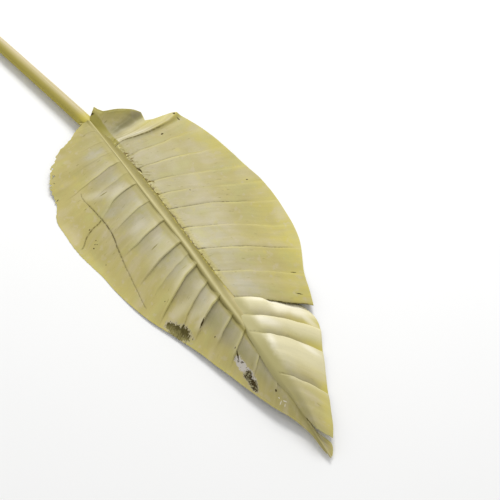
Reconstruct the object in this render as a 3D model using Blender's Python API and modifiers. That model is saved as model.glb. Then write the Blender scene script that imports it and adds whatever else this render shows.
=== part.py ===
"""Bird of paradise leaf, cut and dried: a blade pleated along its side veins, on one midrib and petiole.

The leaf lies on a surface with its ribbed side up. It touches that surface at three low places:
the left margin, the right margin and the cut end of the petiole.

While the shapes are worked out, the origin is on the surface under the base of the blade, +X runs
along the midrib to the tip, the left half of the blade is at -Y and the right half at +Y, as they
lie for someone whom the tip points at. The finished leaf is then moved so that the origin is at the
middle of its box, on the surface.
All sizes are in metres.
"""

import random

import bmesh
import bpy
import numpy as np

LEFT, RIGHT, STRIP = "left half", "right half", "tip strip"
SIGN = {LEFT: -1, RIGHT: 1, STRIP: 1}

# Driving dimensions
BLADE_LENGTH = 0.420
BLADE_THICKNESS = 0.0008
PETIOLE_REACH = 0.330
PETIOLE_WIDTH = 0.0138
PETIOLE_HEIGHT = 0.0124
CUT_END_WIDTH = 0.0122
SHOULDER_LENGTH = 0.007
MIDRIB_WIDTH = 0.0092
MIDRIB_TIP_WIDTH = 0.0016

# Height of the ridge of the midrib above the surface, along the blade
MIDRIB_HEIGHT = (
    (0.000, 0.0145), (0.050, 0.0200), (0.100, 0.0260), (0.160, 0.0310), (0.200, 0.0322),
    (0.260, 0.0305), (0.300, 0.0280), (0.335, 0.0245), (0.374, 0.0160), (0.420, 0.0040),
)

# Distance of each margin from the midrib, by the place along the blade
MARGIN = {
    LEFT: (
        (-0.001, 0.008), (0.004, 0.016), (0.010, 0.026), (0.014, 0.038), (0.023, 0.0510),
        (0.040, 0.0630), (0.056, 0.0690), (0.068, 0.0722), (0.085, 0.0795), (0.100, 0.0798),
        (0.131, 0.0785), (0.160, 0.0730), (0.192, 0.0682), (0.222, 0.0610), (0.240, 0.0545),
        (0.268, 0.0440), (0.312, 0.0302), (0.357, 0.0168), (0.380, 0.0075), (0.404, 0.0032),
        (0.420, 0.0008),
    ),
    RIGHT: (
        (-0.012, 0.0100), (-0.004, 0.0150), (0.005, 0.023), (0.013, 0.038), (0.020, 0.0520),
        (0.028, 0.0650), (0.035, 0.0740), (0.053, 0.0855), (0.076, 0.0945), (0.104, 0.1004),
        (0.127, 0.1050), (0.144, 0.1090), (0.169, 0.1098), (0.194, 0.1074), (0.223, 0.1008),
        (0.253, 0.0855), (0.285, 0.0735), (0.310, 0.0648), (0.329, 0.0537), (0.357, 0.0387),
        (0.384, 0.0246), (0.409, 0.0090),
    ),
    STRIP: ((0.391, 0.0006), (0.400, 0.0032), (0.411, 0.0072), (0.420, 0.0012)),
}

# Height of each margin, by the vein that ends there; where it is below the surface the blade lies flat
MARGIN_HEIGHT = {
    LEFT: (
        (0.000, 0.0090), (0.030, 0.0060), (0.065, 0.0012), (0.095, -0.0018), (0.140, -0.0018),
        (0.175, 0.0006), (0.230, 0.0020), (0.300, 0.0060), (0.360, 0.0085), (0.420, 0.0034),
    ),
    RIGHT: (
        (0.000, 0.0150), (0.030, 0.0160), (0.050, 0.0130), (0.090, 0.0070), (0.130, 0.0006),
        (0.155, -0.0018), (0.200, -0.0018), (0.225, 0.0008), (0.256, 0.0042), (0.258, 0.0036),
        (0.300, 0.0012), (0.360, 0.0030), (0.391, 0.0075),
    ),
    STRIP: ((0.391, 0.0090), (0.417, 0.0022)),
}

# Angle of the side veins to the midrib, in degrees, where they leave it
VEIN_ANGLE = {
    LEFT: (
        (0.000, 116.0), (0.035, 100.0), (0.068, 89.0), (0.103, 86.0), (0.128, 86.5),
        (0.156, 90.0), (0.186, 92.0), (0.214, 83.0), (0.233, 77.0), (0.252, 76.0),
        (0.273, 73.0), (0.291, 64.0), (0.340, 50.0), (0.420, 30.0),
    ),
    RIGHT: (
        (0.000, 128.0), (0.010, 119.0), (0.025, 108.0), (0.048, 100.5), (0.085, 88.5),
        (0.105, 84.0), (0.123, 81.0), (0.144, 78.5), (0.167, 75.0), (0.198, 74.0),
        (0.225, 71.0), (0.257, 68.0), (0.277, 65.0), (0.297, 59.0), (0.337, 51.5),
        (0.391, 37.0),
    ),
    STRIP: ((0.391, 36.0), (0.420, 30.0)),
}

# How fast the side veins turn towards the tip on their way out, in radians a metre
VEIN_BEND = {
    LEFT: (
        (0.000, 0.5), (0.103, 0.6), (0.156, 3.0), (0.186, 6.5), (0.214, 8.0), (0.260, 7.0),
        (0.420, 6.5),
    ),
    RIGHT: (
        (0.000, 0.5), (0.085, 1.5), (0.144, 1.0), (0.198, 1.0), (0.225, 1.2), (0.257, 3.6),
        (0.277, 3.0), (0.337, 2.4), (0.391, 3.2),
    ),
    STRIP: ((0.391, 3.6), (0.420, 4.0)),
}

# Creases that part the pleats: where each one leaves the midrib, and the height of its step
CREASES = {
    LEFT: (
        (0.018, 0.0006), (0.035, 0.0007), (0.052, 0.0008), (0.068, 0.0016), (0.085, 0.0008),
        (0.103, 0.0018), (0.128, 0.0010), (0.156, 0.0022), (0.186, 0.0026), (0.214, 0.0030),
        (0.233, 0.0016), (0.252, 0.0028), (0.273, 0.0016), (0.291, 0.0020), (0.315, 0.0012),
        (0.342, 0.0010), (0.368, 0.0007), (0.394, 0.0004),
    ),
    RIGHT: (
        (0.014, 0.0004), (0.030, 0.0006), (0.048, 0.0026), (0.066, 0.0007), (0.085, 0.0010),
        (0.105, 0.0013), (0.123, 0.0009), (0.144, 0.0015), (0.167, 0.0012), (0.198, 0.0015),
        (0.225, 0.0015), (0.257, 0.0026), (0.277, 0.0024), (0.297, 0.0024), (0.337, 0.0022),
        (0.364, 0.0010),
    ),
    STRIP: ((0.402, 0.0003),),
}
CREASE_HALF_WIDTH = 0.0012
CREASE_POWER = 1.2
CREASE_ROOT = 0.07
PILLOW_HEIGHT = 0.0022
STATIONS_PER_PLEAT = 4

# Share of the way to the margin over which the pleats fade out
PLEAT_FADE = {LEFT: (0.45, 0.80), RIGHT: (0.60, 1.00), STRIP: (0.60, 1.00)}
PLEAT_LOSS = {LEFT: 1.0, RIGHT: 0.8, STRIP: 0.8}
LOBE_FADE = (0.85, 1.15)

# The lower right lobe is torn off along a vein: its corner is round and its edge is tucked under the
# blade above it, whose own edge is lifted and drawn back a little at the margin
TEAR_STATION = 0.257
TEAR_START = 0.42
TEAR_FULL = 0.54
TUCK_LENGTH = 0.0062
TUCK_REACH = 0.010
TUCK_DROP = 0.0010
LIFT_HEIGHT = 0.0018
LIFT_REACH = 0.014
DRAWN_BACK = 0.0055
DRAWN_FROM = 0.65
TORN_CORNER_PULL = 0.13
TORN_CORNER_REACH = 0.006

# The lobe is torn again beside the midrib near the tip, and leaves a narrow strip there
FIRST_VEIN = {LEFT: 0.0, RIGHT: 0.0, STRIP: 0.3925}
LAST_VEIN = {LEFT: 0.414, RIGHT: 0.391, STRIP: 0.416}

# Waves of the margin beside the base, by the vein that ends there
BASE_WAVE = {
    LEFT: ((0.000, 0.0020), (0.014, 0.0035), (0.030, 0.0000), (0.044, 0.0022), (0.062, 0.0000)),
    RIGHT: (
        (0.000, 0.0030), (0.007, 0.0085), (0.014, 0.0050), (0.022, -0.0062), (0.030, -0.0010),
        (0.044, 0.0020), (0.064, 0.0000),
    ),
    STRIP: ((0.391, 0.0), (0.420, 0.0)),
}

# Small random steps of the torn margin beside the base, on the left half: depth, range and fading out
RAGGED_DEPTH = 0.0016
RAGGED_RANGE = (-1.0, 0.6)
RAGGED_FADE = (0.051, 0.085)
RAGGED_SEED = 7

# How the blade falls from the midrib to the margin: the power of the arch, and its share of bell shape
ARCH_POWER = {LEFT: 1.25, RIGHT: 1.60, STRIP: 1.0}
BELL_SHARE = {LEFT: 0.50, RIGHT: 0.40, STRIP: 0.0}
JOIN_DEPTH = {LEFT: 0.0034, RIGHT: 0.0026, STRIP: 0.0012}

# Points across each half of the blade, a little closer together beside the midrib
ACROSS_STEPS = 12
ACROSS_POWER = 1.1
LONGEST_VEIN = 0.150
HALVINGS = 40

# Petiole and midrib: their loft, the way the petiole leans, and the shallow groove along the underside
PETIOLE_SECTIONS = 13
MIDRIB_SECTIONS = 26
SECTION_SIDES = 14
PETIOLE_TAPER = 0.8
MIDRIB_TAPER = 1.1
MIDRIB_DEPTH_SHARE = 0.80
PETIOLE_SLANT = 0.17
PETIOLE_CURVE = 0.05
GROOVE_DEPTH = 0.12
GROOVE_TURN = 0.35

BLADE_COLOUR = (0.47, 0.42, 0.16, 1.0)
BLADE_ROUGHNESS = 0.45
SHARP_ANGLE = 35.0


def through(knots, places):
    """Smooth curve through (place, value) pairs, level beyond both ends."""
    x, y = np.array(knots, float).T
    slope = np.gradient(y, x)
    places = np.clip(places, x[0], x[-1])
    i = np.clip(np.searchsorted(x, places, side="right") - 1, 0, len(x) - 2)
    gap = x[i + 1] - x[i]
    t = (places - x[i]) / gap
    start = (2 * t**3 - 3 * t**2 + 1) * y[i] + (t**3 - 2 * t**2 + t) * gap * slope[i]
    return start + (3 * t**2 - 2 * t**3) * y[i + 1] + (t**3 - t**2) * gap * slope[i + 1]


def ease(low, high, value):
    """0 up to low, 1 from high, smooth between."""
    t = np.clip((value - low) / (high - low), 0.0, 1.0)
    return t * t * (3.0 - 2.0 * t)


def vein_plan(side, station, distance):
    """Place along the blade and away from the midrib, this far out along a side vein."""
    angle = np.radians(through(VEIN_ANGLE[side], station))
    bend = through(VEIN_BEND[side], station)
    along = station + (np.sin(angle) - np.sin(angle - bend * distance)) / bend
    away = (np.cos(angle - bend * distance) - np.cos(angle)) / bend
    return along, away


def vein_length(side, station):
    """Distance along a side vein from the midrib to the margin, found by halving."""
    low = np.zeros_like(station)
    high = np.full_like(station, LONGEST_VEIN)
    for _ in range(HALVINGS):
        middle = (low + high) / 2
        along, away = vein_plan(side, station, middle)
        inside = away < through(MARGIN[side], along)
        low = np.where(inside, middle, low)
        high = np.where(inside, high, middle)
    return low


def torn_corner(side, station):
    """Share of a vein's length that is left where the torn lobe has a round corner."""
    if side != RIGHT:
        return np.ones_like(station)
    past = station - TEAR_STATION
    return 1.0 - TORN_CORNER_PULL * np.exp(-np.abs(past) / TORN_CORNER_REACH) * (past > 0)


def tear_edges(side, station, share):
    """Shift along the blade and change of height beside the tear: one edge lifts, one tucks under."""
    if side != RIGHT:
        return 0.0, 0.0
    past = station - TEAR_STATION
    open_share = ease(TEAR_START, TEAR_FULL, share)
    tuck = open_share * np.exp(-np.abs(past) / TUCK_REACH) * (past > 0)
    near = np.exp(-np.abs(past) / LIFT_REACH) * (past < 0)
    shift = -TUCK_LENGTH * tuck - DRAWN_BACK * ease(DRAWN_FROM, 1.0, share) * near
    return shift, LIFT_HEIGHT * open_share * near - TUCK_DROP * tuck


def ragged_margin(side, station):
    """Random change of each vein's length beside the base, where the left margin is torn."""
    draw = random.Random(RAGGED_SEED)
    steps = np.array([draw.uniform(*RAGGED_RANGE) for _ in station])
    fade = 1.0 - ease(*RAGGED_FADE, station)
    return steps * RAGGED_DEPTH * fade * (side == LEFT)


def pleat_height(side, station, share):
    """Height of the pleats: a step at each crease, and pillows between creases on the torn lobe."""
    ends = [0.0] + [place for place, _ in CREASES[side]] + [BLADE_LENGTH]
    steps = [0.0] + [step for _, step in CREASES[side]] + [0.0]
    i = np.clip(np.searchsorted(ends, station, side="right") - 1, 0, len(ends) - 2)
    places, heights = np.array(ends), np.array(steps)
    phase = (station - places[i]) / (places[i + 1] - places[i])
    root = ease(0.0, CREASE_ROOT, share)
    fade = 1.0 - PLEAT_LOSS[side] * ease(*PLEAT_FADE[side], share)
    if side == LEFT:
        return heights[i + 1] * phase**CREASE_POWER * fade * root
    lobe = (station > TEAR_STATION) & (side == RIGHT)
    pillow = PILLOW_HEIGHT * 4 * phase * (1 - phase) * lobe
    lobe_fade = 1.0 - ease(*LOBE_FADE, share)
    height = heights[i] * (1.0 - phase) ** CREASE_POWER + pillow
    return height * np.where(lobe, lobe_fade, fade) * root


def blade_points(side, station, share):
    """Points of the middle surface of one half of the blade."""
    whole = vein_length(side, station)
    length = whole * torn_corner(side, station) + ragged_margin(side, station)
    along, away = vein_plan(side, station[:, None], length[:, None] * share)
    column = station[:, None]
    reach = share * (length / whole)[:, None]
    join = through(MIDRIB_HEIGHT, column) - JOIN_DEPTH[side]
    margin = through(MARGIN_HEIGHT[side], column)
    fall = (1 - BELL_SHARE[side]) * reach ** ARCH_POWER[side] + BELL_SHARE[side] * ease(0, 1, reach)
    wave = through(BASE_WAVE[side], column) * share
    height = join + (margin - join) * fall + wave + pleat_height(side, column, share)
    shift, lift = tear_edges(side, column, share)
    height = np.maximum(height + lift, BLADE_THICKNESS / 2)
    return np.stack([along + shift, SIGN[side] * away, height], axis=-1)


def pleat_stations(side):
    """Places along the midrib where a row of the blade's points starts: several on each pleat."""
    places = [place for place, _ in CREASES[side]]
    starts = [FIRST_VEIN[side]] + [place + CREASE_HALF_WIDTH for place in places]
    stops = [place - CREASE_HALF_WIDTH for place in places] + [LAST_VEIN[side]]
    pleats = [np.linspace(low, high, STATIONS_PER_PLEAT) for low, high in zip(starts, stops)]
    return np.concatenate(pleats)


def in_tear(side, low, high, share):
    """True for the cells that the tear takes out."""
    return side == RIGHT and low < TEAR_STATION < high and share > TEAR_START


def blade_sheet(side):
    """One part of the blade: an open sheet of triangles along the veins, then its thickness."""
    stations = pleat_stations(side)
    shares = np.linspace(0.0, 1.0, ACROSS_STEPS + 1) ** ACROSS_POWER
    points = blade_points(side, stations, shares)
    sheet = bmesh.new()
    rows = [[sheet.verts.new(point) for point in row] for row in points]
    for i in range(len(rows) - 1):
        for j in range(ACROSS_STEPS):
            if in_tear(side, stations[i], stations[i + 1], shares[j + 1]):
                continue
            a, b, c, d = rows[i][j], rows[i + 1][j], rows[i + 1][j + 1], rows[i][j + 1]
            if SIGN[side] < 0:
                b, d = d, b
            sheet.faces.new((a, b, c))
            sheet.faces.new((a, c, d))
    mesh = bpy.data.meshes.new(side)
    sheet.to_mesh(mesh)
    sheet.free()
    made = bpy.data.objects.new(side, mesh)
    bpy.context.scene.collection.objects.link(made)
    skin = made.modifiers.new("Thickness", "SOLIDIFY")
    skin.thickness = BLADE_THICKNESS
    skin.offset = 0.0
    return made


def petiole_axis(reach):
    """Sideways place of the petiole's centre line, by its distance behind the blade."""
    return -PETIOLE_SLANT * reach - PETIOLE_CURVE * reach**2


def stalk_sections():
    """Centre, half width and half height of each section, from the cut end to the tip."""
    sections = []
    base_top = float(through(MIDRIB_HEIGHT, 0.0))
    for reach in np.linspace(PETIOLE_REACH, SHOULDER_LENGTH, PETIOLE_SECTIONS):
        share = reach / PETIOLE_REACH
        width = PETIOLE_WIDTH + (CUT_END_WIDTH - PETIOLE_WIDTH) * share**PETIOLE_TAPER
        height = width * PETIOLE_HEIGHT / PETIOLE_WIDTH
        end_top = CUT_END_WIDTH * PETIOLE_HEIGHT / PETIOLE_WIDTH
        top = base_top + (end_top - base_top) * share
        sections.append((-reach, petiole_axis(reach), top - height / 2, width / 2, height / 2))
    for along in np.linspace(0.0, BLADE_LENGTH, MIDRIB_SECTIONS):
        share = along / BLADE_LENGTH
        width = MIDRIB_WIDTH + (MIDRIB_TIP_WIDTH - MIDRIB_WIDTH) * share**MIDRIB_TAPER
        height = width * MIDRIB_DEPTH_SHARE
        top = float(through(MIDRIB_HEIGHT, along))
        sections.append((along, 0.0, top - height / 2, width / 2, height / 2))
    return sections


def section_ring(section, forward):
    """Points round one section, square to the stalk, with a shallow groove underneath."""
    x, y, z, half_width, half_height = section
    across = np.array([-forward[1], forward[0], 0.0])
    across /= np.linalg.norm(across)
    ring = []
    for turn in np.linspace(0.0, 2 * np.pi, SECTION_SIDES, endpoint=False):
        down = np.exp(-(((turn - 1.5 * np.pi) / GROOVE_TURN) ** 2))
        radius = 1.0 - GROOVE_DEPTH * down
        offset = across * half_width * radius * np.cos(turn)
        ring.append(np.array([x, y, z + half_height * radius * np.sin(turn)]) + offset)
    return ring


def stalk(name):
    """Petiole and midrib: one tapered loft that narrows at the shoulder where the blade starts."""
    sections = stalk_sections()
    centres = np.array([section[:3] for section in sections])
    forward = np.gradient(centres, axis=0)
    body = bmesh.new()
    rings = []
    for section, direction in zip(sections, forward):
        rings.append([body.verts.new(point) for point in section_ring(section, direction)])
    for ring, following in zip(rings, rings[1:]):
        for k in range(SECTION_SIDES):
            n = (k + 1) % SECTION_SIDES
            body.faces.new((ring[k], ring[n], following[n], following[k]))
    body.faces.new(rings[0])
    body.faces.new(rings[-1])
    bmesh.ops.recalc_face_normals(body, faces=body.faces)
    bmesh.ops.triangulate(body, faces=body.faces)
    mesh = bpy.data.meshes.new(name)
    body.to_mesh(mesh)
    body.free()
    made = bpy.data.objects.new(name, mesh)
    bpy.context.scene.collection.objects.link(made)
    return made


def join(body, others):
    """Unite the other solids with the body, and remove them."""
    group = bpy.data.collections.new("blade sheets")
    bpy.context.scene.collection.children.link(group)
    for other in others:
        bpy.context.scene.collection.objects.unlink(other)
        group.objects.link(other)
    union = body.modifiers.new("Union", "BOOLEAN")
    union.operation = "UNION"
    union.operand_type = "COLLECTION"
    union.collection = group
    union.solver = "EXACT"
    apply_modifiers(body)
    for other in others:
        bpy.data.objects.remove(other)
    bpy.data.collections.remove(group)


def apply_modifiers(thing):
    """Replace an object's mesh by its evaluated mesh."""
    graph = bpy.context.evaluated_depsgraph_get()
    mesh = bpy.data.meshes.new_from_object(thing.evaluated_get(graph))
    thing.modifiers.clear()
    thing.data = mesh


def leaf_material():
    """Dried blade: a pale olive with a soft waxy gloss."""
    material = bpy.data.materials.new("dried leaf")
    material.use_nodes = True
    shader = material.node_tree.nodes["Principled BSDF"]
    shader.inputs["Base Color"].default_value = BLADE_COLOUR
    shader.inputs["Roughness"].default_value = BLADE_ROUGHNESS
    shader.inputs["Metallic"].default_value = 0.0
    return material


def centre_on_surface(thing):
    """Move the mesh so that the origin is at the middle of its box, at its lowest height."""
    corners = np.array([vertex.co for vertex in thing.data.vertices])
    low, high = corners.min(axis=0), corners.max(axis=0)
    middle = (low + high) / 2
    for vertex in thing.data.vertices:
        vertex.co.x -= middle[0]
        vertex.co.y -= middle[1]
        vertex.co.z -= low[2]


def main():
    for thing in list(bpy.data.objects):
        bpy.data.objects.remove(thing)
    leaf = stalk("leaf")
    sheets = [blade_sheet(side) for side in (LEFT, RIGHT, STRIP)]
    for sheet in sheets:
        apply_modifiers(sheet)
    join(leaf, sheets)
    centre_on_surface(leaf)
    leaf.data.materials.clear()
    leaf.data.materials.append(leaf_material())
    leaf.data.shade_smooth()
    leaf.data.set_sharp_from_angle(angle=np.radians(SHARP_ANGLE))
    parts = bpy.data.collections.new("bird of paradise leaf")
    bpy.context.scene.collection.children.link(parts)
    bpy.context.scene.collection.objects.unlink(leaf)
    parts.objects.link(leaf)


main()
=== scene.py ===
"""Looks of a dried bird of paradise leaf that lies with its ribbed side up on a pale floor.

The leaf frame that the sizes below are given in has its origin on the floor under the base of the
blade. +X runs along the midrib to the tip, the left half of the blade is at -Y and the right half at
+Y. LeafPlace moves finished pieces from that frame to the place of the solid. All sizes are in metres.
"""

import logging
import math
from collections.abc import Callable, Sequence
from dataclasses import dataclass, field
from enum import Enum

import bpy
import numpy as np
from mathutils import Matrix, Vector


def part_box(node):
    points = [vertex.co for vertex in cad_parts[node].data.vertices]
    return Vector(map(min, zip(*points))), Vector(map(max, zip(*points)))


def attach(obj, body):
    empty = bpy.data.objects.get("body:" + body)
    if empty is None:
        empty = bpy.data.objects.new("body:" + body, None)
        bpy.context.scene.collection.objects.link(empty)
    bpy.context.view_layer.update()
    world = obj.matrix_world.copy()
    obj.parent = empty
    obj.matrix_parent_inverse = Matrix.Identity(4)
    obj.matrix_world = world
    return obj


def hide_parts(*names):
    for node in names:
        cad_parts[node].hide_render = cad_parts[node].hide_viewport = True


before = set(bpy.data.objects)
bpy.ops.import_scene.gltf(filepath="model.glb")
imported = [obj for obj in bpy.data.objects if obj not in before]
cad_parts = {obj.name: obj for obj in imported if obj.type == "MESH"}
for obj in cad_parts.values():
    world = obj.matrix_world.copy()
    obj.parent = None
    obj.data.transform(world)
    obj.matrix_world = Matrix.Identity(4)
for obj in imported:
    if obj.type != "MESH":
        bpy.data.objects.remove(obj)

log = logging.getLogger("leaf")

Knots = tuple[tuple[float, float], ...]
Numbers = np.ndarray
Socket = bpy.types.NodeSocket
Colour = tuple[float, float, float]
Stretch = tuple[float, float]
Carry = tuple[float, float, float, float]

LEAF_NODE = "leaf"

LEVEL_ZERO: Knots = ((0.0, 0.0), (0.42, 0.0))
LEVEL_ONE: Knots = ((0.0, 1.0), (0.42, 1.0))


class Half(Enum):
    """The parts of the blade beside the midrib."""

    LEFT = "left_half"
    RIGHT = "right_half"
    STRIP = "tip_strip"


def through(knots: Knots, places: Numbers | float) -> Numbers:
    """Smooth curve through knots, level beyond both ends.

    Args:
        knots: (place, value) pairs in order of place.
        places: where the curve is read.

    Returns:
        The value at each place.
    """
    x, y = np.array(knots, float).T
    slope = np.gradient(y, x)
    places = np.clip(places, x[0], x[-1])
    i = np.clip(np.searchsorted(x, places, side="right") - 1, 0, len(x) - 2)
    gap = x[i + 1] - x[i]
    t = (places - x[i]) / gap
    start = (2 * t**3 - 3 * t**2 + 1) * y[i] + (t**3 - 2 * t**2 + t) * gap * slope[i]
    return start + (3 * t**2 - 2 * t**3) * y[i + 1] + (t**3 - t**2) * gap * slope[i + 1]


def straight(knots: Knots, places: Numbers | float) -> Numbers:
    """Straight lines through knots, level beyond both ends."""
    x, y = np.array(knots, float).T
    return np.interp(places, x, y)


def ease(low: Numbers | float, high: Numbers | float, value: Numbers | float) -> Numbers:
    """0 up to low, 1 from high, smooth between."""
    t = np.clip((value - low) / (high - low), 0.0, 1.0)
    return t * t * (3.0 - 2.0 * t)


def bell(value: Numbers, middle: Numbers | float, width: Numbers | float) -> Numbers:
    """1 at the middle, falling off to both sides over this width."""
    return np.exp(-(((value - middle) / width) ** 2))


def srgb(red: float, green: float, blue: float) -> Colour:
    """Linear colour of an sRGB colour.

    Args:
        red: 0 to 255.
        green: 0 to 255.
        blue: 0 to 255.

    Returns:
        The same colour as a shader takes it, 0 to 1.
    """
    shown = np.array([red, green, blue]) / 255.0
    low, high = shown / 12.92, ((shown + 0.055) / 1.055) ** 2.4
    return tuple(float(value) for value in np.where(shown <= 0.04045, low, high))


@dataclass(frozen=True)
class Drift:
    """Smooth random values over two coordinates, the same in every run."""

    seed: int
    cell_u: float
    cell_v: float
    period: int = 64

    def at(self, u: Numbers, v: Numbers) -> Numbers:
        """Read the drift at pairs of places.

        Args:
            u: places along the first coordinate.
            v: places along the second coordinate.

        Returns:
            Values between -1 and 1.
        """
        table = np.random.default_rng(self.seed).uniform(-1.0, 1.0, (self.period, self.period))
        u, v = np.broadcast_arrays(u / self.cell_u, v / self.cell_v)
        i, j = np.floor(u).astype(int), np.floor(v).astype(int)
        f, g = u - i, v - j
        f, g = f * f * (3 - 2 * f), g * g * (3 - 2 * g)
        i, j, k, m = (n % self.period for n in (i, j, i + 1, j + 1))
        near = table[i, j] * (1 - g) + table[i, m] * g
        return near * (1 - f) + (table[k, j] * (1 - g) + table[k, m] * g) * f


@dataclass(frozen=True)
class Crease:
    """A crease that parts two pleats.

    place is where it leaves the midrib, step is its height, ink says how dark its line is, reach is the
    share of its length that the line keeps, and valley_shade says how strong the painted shade in the valley
    beside it is; on the left half it also sets the painted highlight and painted light just before it.
    """

    place: float
    step: float
    ink: float
    reach: float = 0.6
    valley_shade: float = 0.0


@dataclass(frozen=True)
class Wander:
    """A bend that one crease and the veins beside it take: a shift along the blade at each share."""

    place: float
    width: float
    shift: Knots


@dataclass(frozen=True)
class PleatShape:
    """Shape of the pleats between the creases, and of the pillows on the torn lobe."""

    root: float = 0.07
    left_power: float = 1.6
    right_power: float = 1.2
    valleys: Knots = ((0.0, 0.05), (0.10, 0.08), (0.17, 0.16), (0.20, 0.32), (0.42, 0.32))
    valley_end: float = 0.75
    longest_reach: float = 0.72
    reach_fade: Stretch = (0.05, 0.32)
    lobe_root: Stretch = (-0.02, 0.34)
    lobe_fade: Stretch = (0.85, 1.15)
    pillow_height: float = 0.00275
    pillow_power: float = 0.75
    step_softness: float = 0.00042
    round_reach: float = 1.6
    round_samples: int = 9


@dataclass(frozen=True)
class LeafSizes:
    """Driving dimensions that the halves and the stalk share."""

    blade_length: float = 0.420
    left_reach: float = 0.08004
    midrib_height: Knots = (
        (0.000, 0.0145), (0.050, 0.0200), (0.100, 0.0260), (0.160, 0.0310), (0.200, 0.0322),
        (0.260, 0.0305), (0.300, 0.0280), (0.335, 0.0245), (0.374, 0.0160), (0.420, 0.0040),
    )
    longest_vein: float = 0.150
    halvings: int = 40
    pleats: PleatShape = PleatShape()


@dataclass(frozen=True)
class HalfPlan:
    """Outline, veins, creases and arch of one half of the blade."""

    half: Half
    sign: int
    margin: Knots
    margin_height: Knots
    vein_angle: Knots
    vein_bend: Knots
    creases: tuple[Crease, ...]
    base_wave: Knots
    join_depth: Knots
    arch_power: float
    bell_share: float
    first_vein: float
    last_vein: float
    pleat_fade: Stretch = (0.60, 1.00)
    pleat_loss: float = 0.8
    trim: Knots = LEVEL_ZERO
    inner_edge: Knots = LEVEL_ZERO
    wanders: tuple[Wander, ...] = ()


LEFT_PLAN = HalfPlan(
    half=Half.LEFT,
    sign=-1,
    margin=(
        (-0.001, 0.008), (0.004, 0.016), (0.010, 0.026), (0.014, 0.038), (0.023, 0.0510),
        (0.040, 0.0630), (0.056, 0.0690), (0.068, 0.0722), (0.085, 0.0795), (0.100, 0.0798),
        (0.131, 0.0785), (0.160, 0.0730), (0.192, 0.0682), (0.222, 0.0610), (0.240, 0.0545),
        (0.268, 0.0440), (0.312, 0.0302), (0.357, 0.0168), (0.380, 0.0072), (0.395, 0.0030),
        (0.412, 0.0018), (0.420, 0.0006),
    ),
    margin_height=(
        (0.000, 0.0090), (0.030, 0.0060), (0.065, 0.0012), (0.095, -0.0018), (0.140, -0.0018),
        (0.175, 0.0006), (0.230, 0.0020), (0.300, 0.0060), (0.360, 0.0085), (0.420, 0.0034),
    ),
    vein_angle=(
        (0.000, 116.0), (0.035, 100.0), (0.068, 89.0), (0.103, 86.0), (0.128, 86.5),
        (0.156, 90.0), (0.186, 92.0), (0.214, 83.0), (0.233, 77.0), (0.252, 76.0),
        (0.273, 73.0), (0.291, 64.0), (0.340, 50.0), (0.420, 30.0),
    ),
    vein_bend=(
        (0.000, 0.5), (0.103, 0.6), (0.156, 3.0), (0.186, 6.5), (0.214, 8.0), (0.260, 7.0),
        (0.420, 6.5),
    ),
    creases=(
        Crease(0.018, 0.0003, 0.0, 0.3), Crease(0.035, 0.0004, 0.03, 0.3),
        Crease(0.052, 0.0003, 0.00, 0.4, 0.06), Crease(0.068, 0.0009, 0.16, 0.64, 0.55),
        Crease(0.085, 0.0004, 0.00, 0.4, 0.14), Crease(0.103, 0.0013, 1.00, 0.30, 0.50),
        Crease(0.128, 0.0008, 0.30, 0.34, 0.42), Crease(0.156, 0.0016, 0.60, 0.42, 0.60),
        Crease(0.186, 0.0021, 0.60, 0.52, 0.60), Crease(0.200, 0.0004, 0.0, 0.62, 0.26),
        Crease(0.214, 0.0028, 0.55, 0.95, 0.75),
        Crease(0.233, 0.0016, 0.40, 0.70, 0.40), Crease(0.252, 0.0030, 0.45, 0.62, 1.00),
        Crease(0.273, 0.0020, 0.35, 0.5, 1.00), Crease(0.291, 0.0022, 0.40, 0.6, 0.90),
        Crease(0.315, 0.0013, 0.30, 0.5, 0.50), Crease(0.342, 0.0008, 0.10, 0.4, 0.25),
        Crease(0.368, 0.0005, 0.03, 0.3, 0.15), Crease(0.394, 0.0003, 0.0, 0.3),
    ),
    base_wave=((0.000, 0.0020), (0.014, 0.0035), (0.030, 0.0), (0.044, 0.0022), (0.062, 0.0)),
    join_depth=(
        (0.0, 0.0006), (0.08, 0.0007), (0.13, 0.0012), (0.18, 0.0014), (0.24, 0.0019), (0.30, 0.0020),
        (0.34, 0.0016), (0.37, 0.0009), (0.42, 0.0006),
    ),
    arch_power=1.25,
    bell_share=0.50,
    first_vein=0.0,
    last_vein=0.414,
    wanders=(
        Wander(0.103, 0.014, (
            (0.00, 0.0), (0.07, -0.0011), (0.31, -0.0023), (0.60, 0.0047), (0.72, 0.0050),
            (0.84, 0.0086), (0.91, 0.0130), (1.00, 0.0140),
        )),
    ),
)

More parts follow.
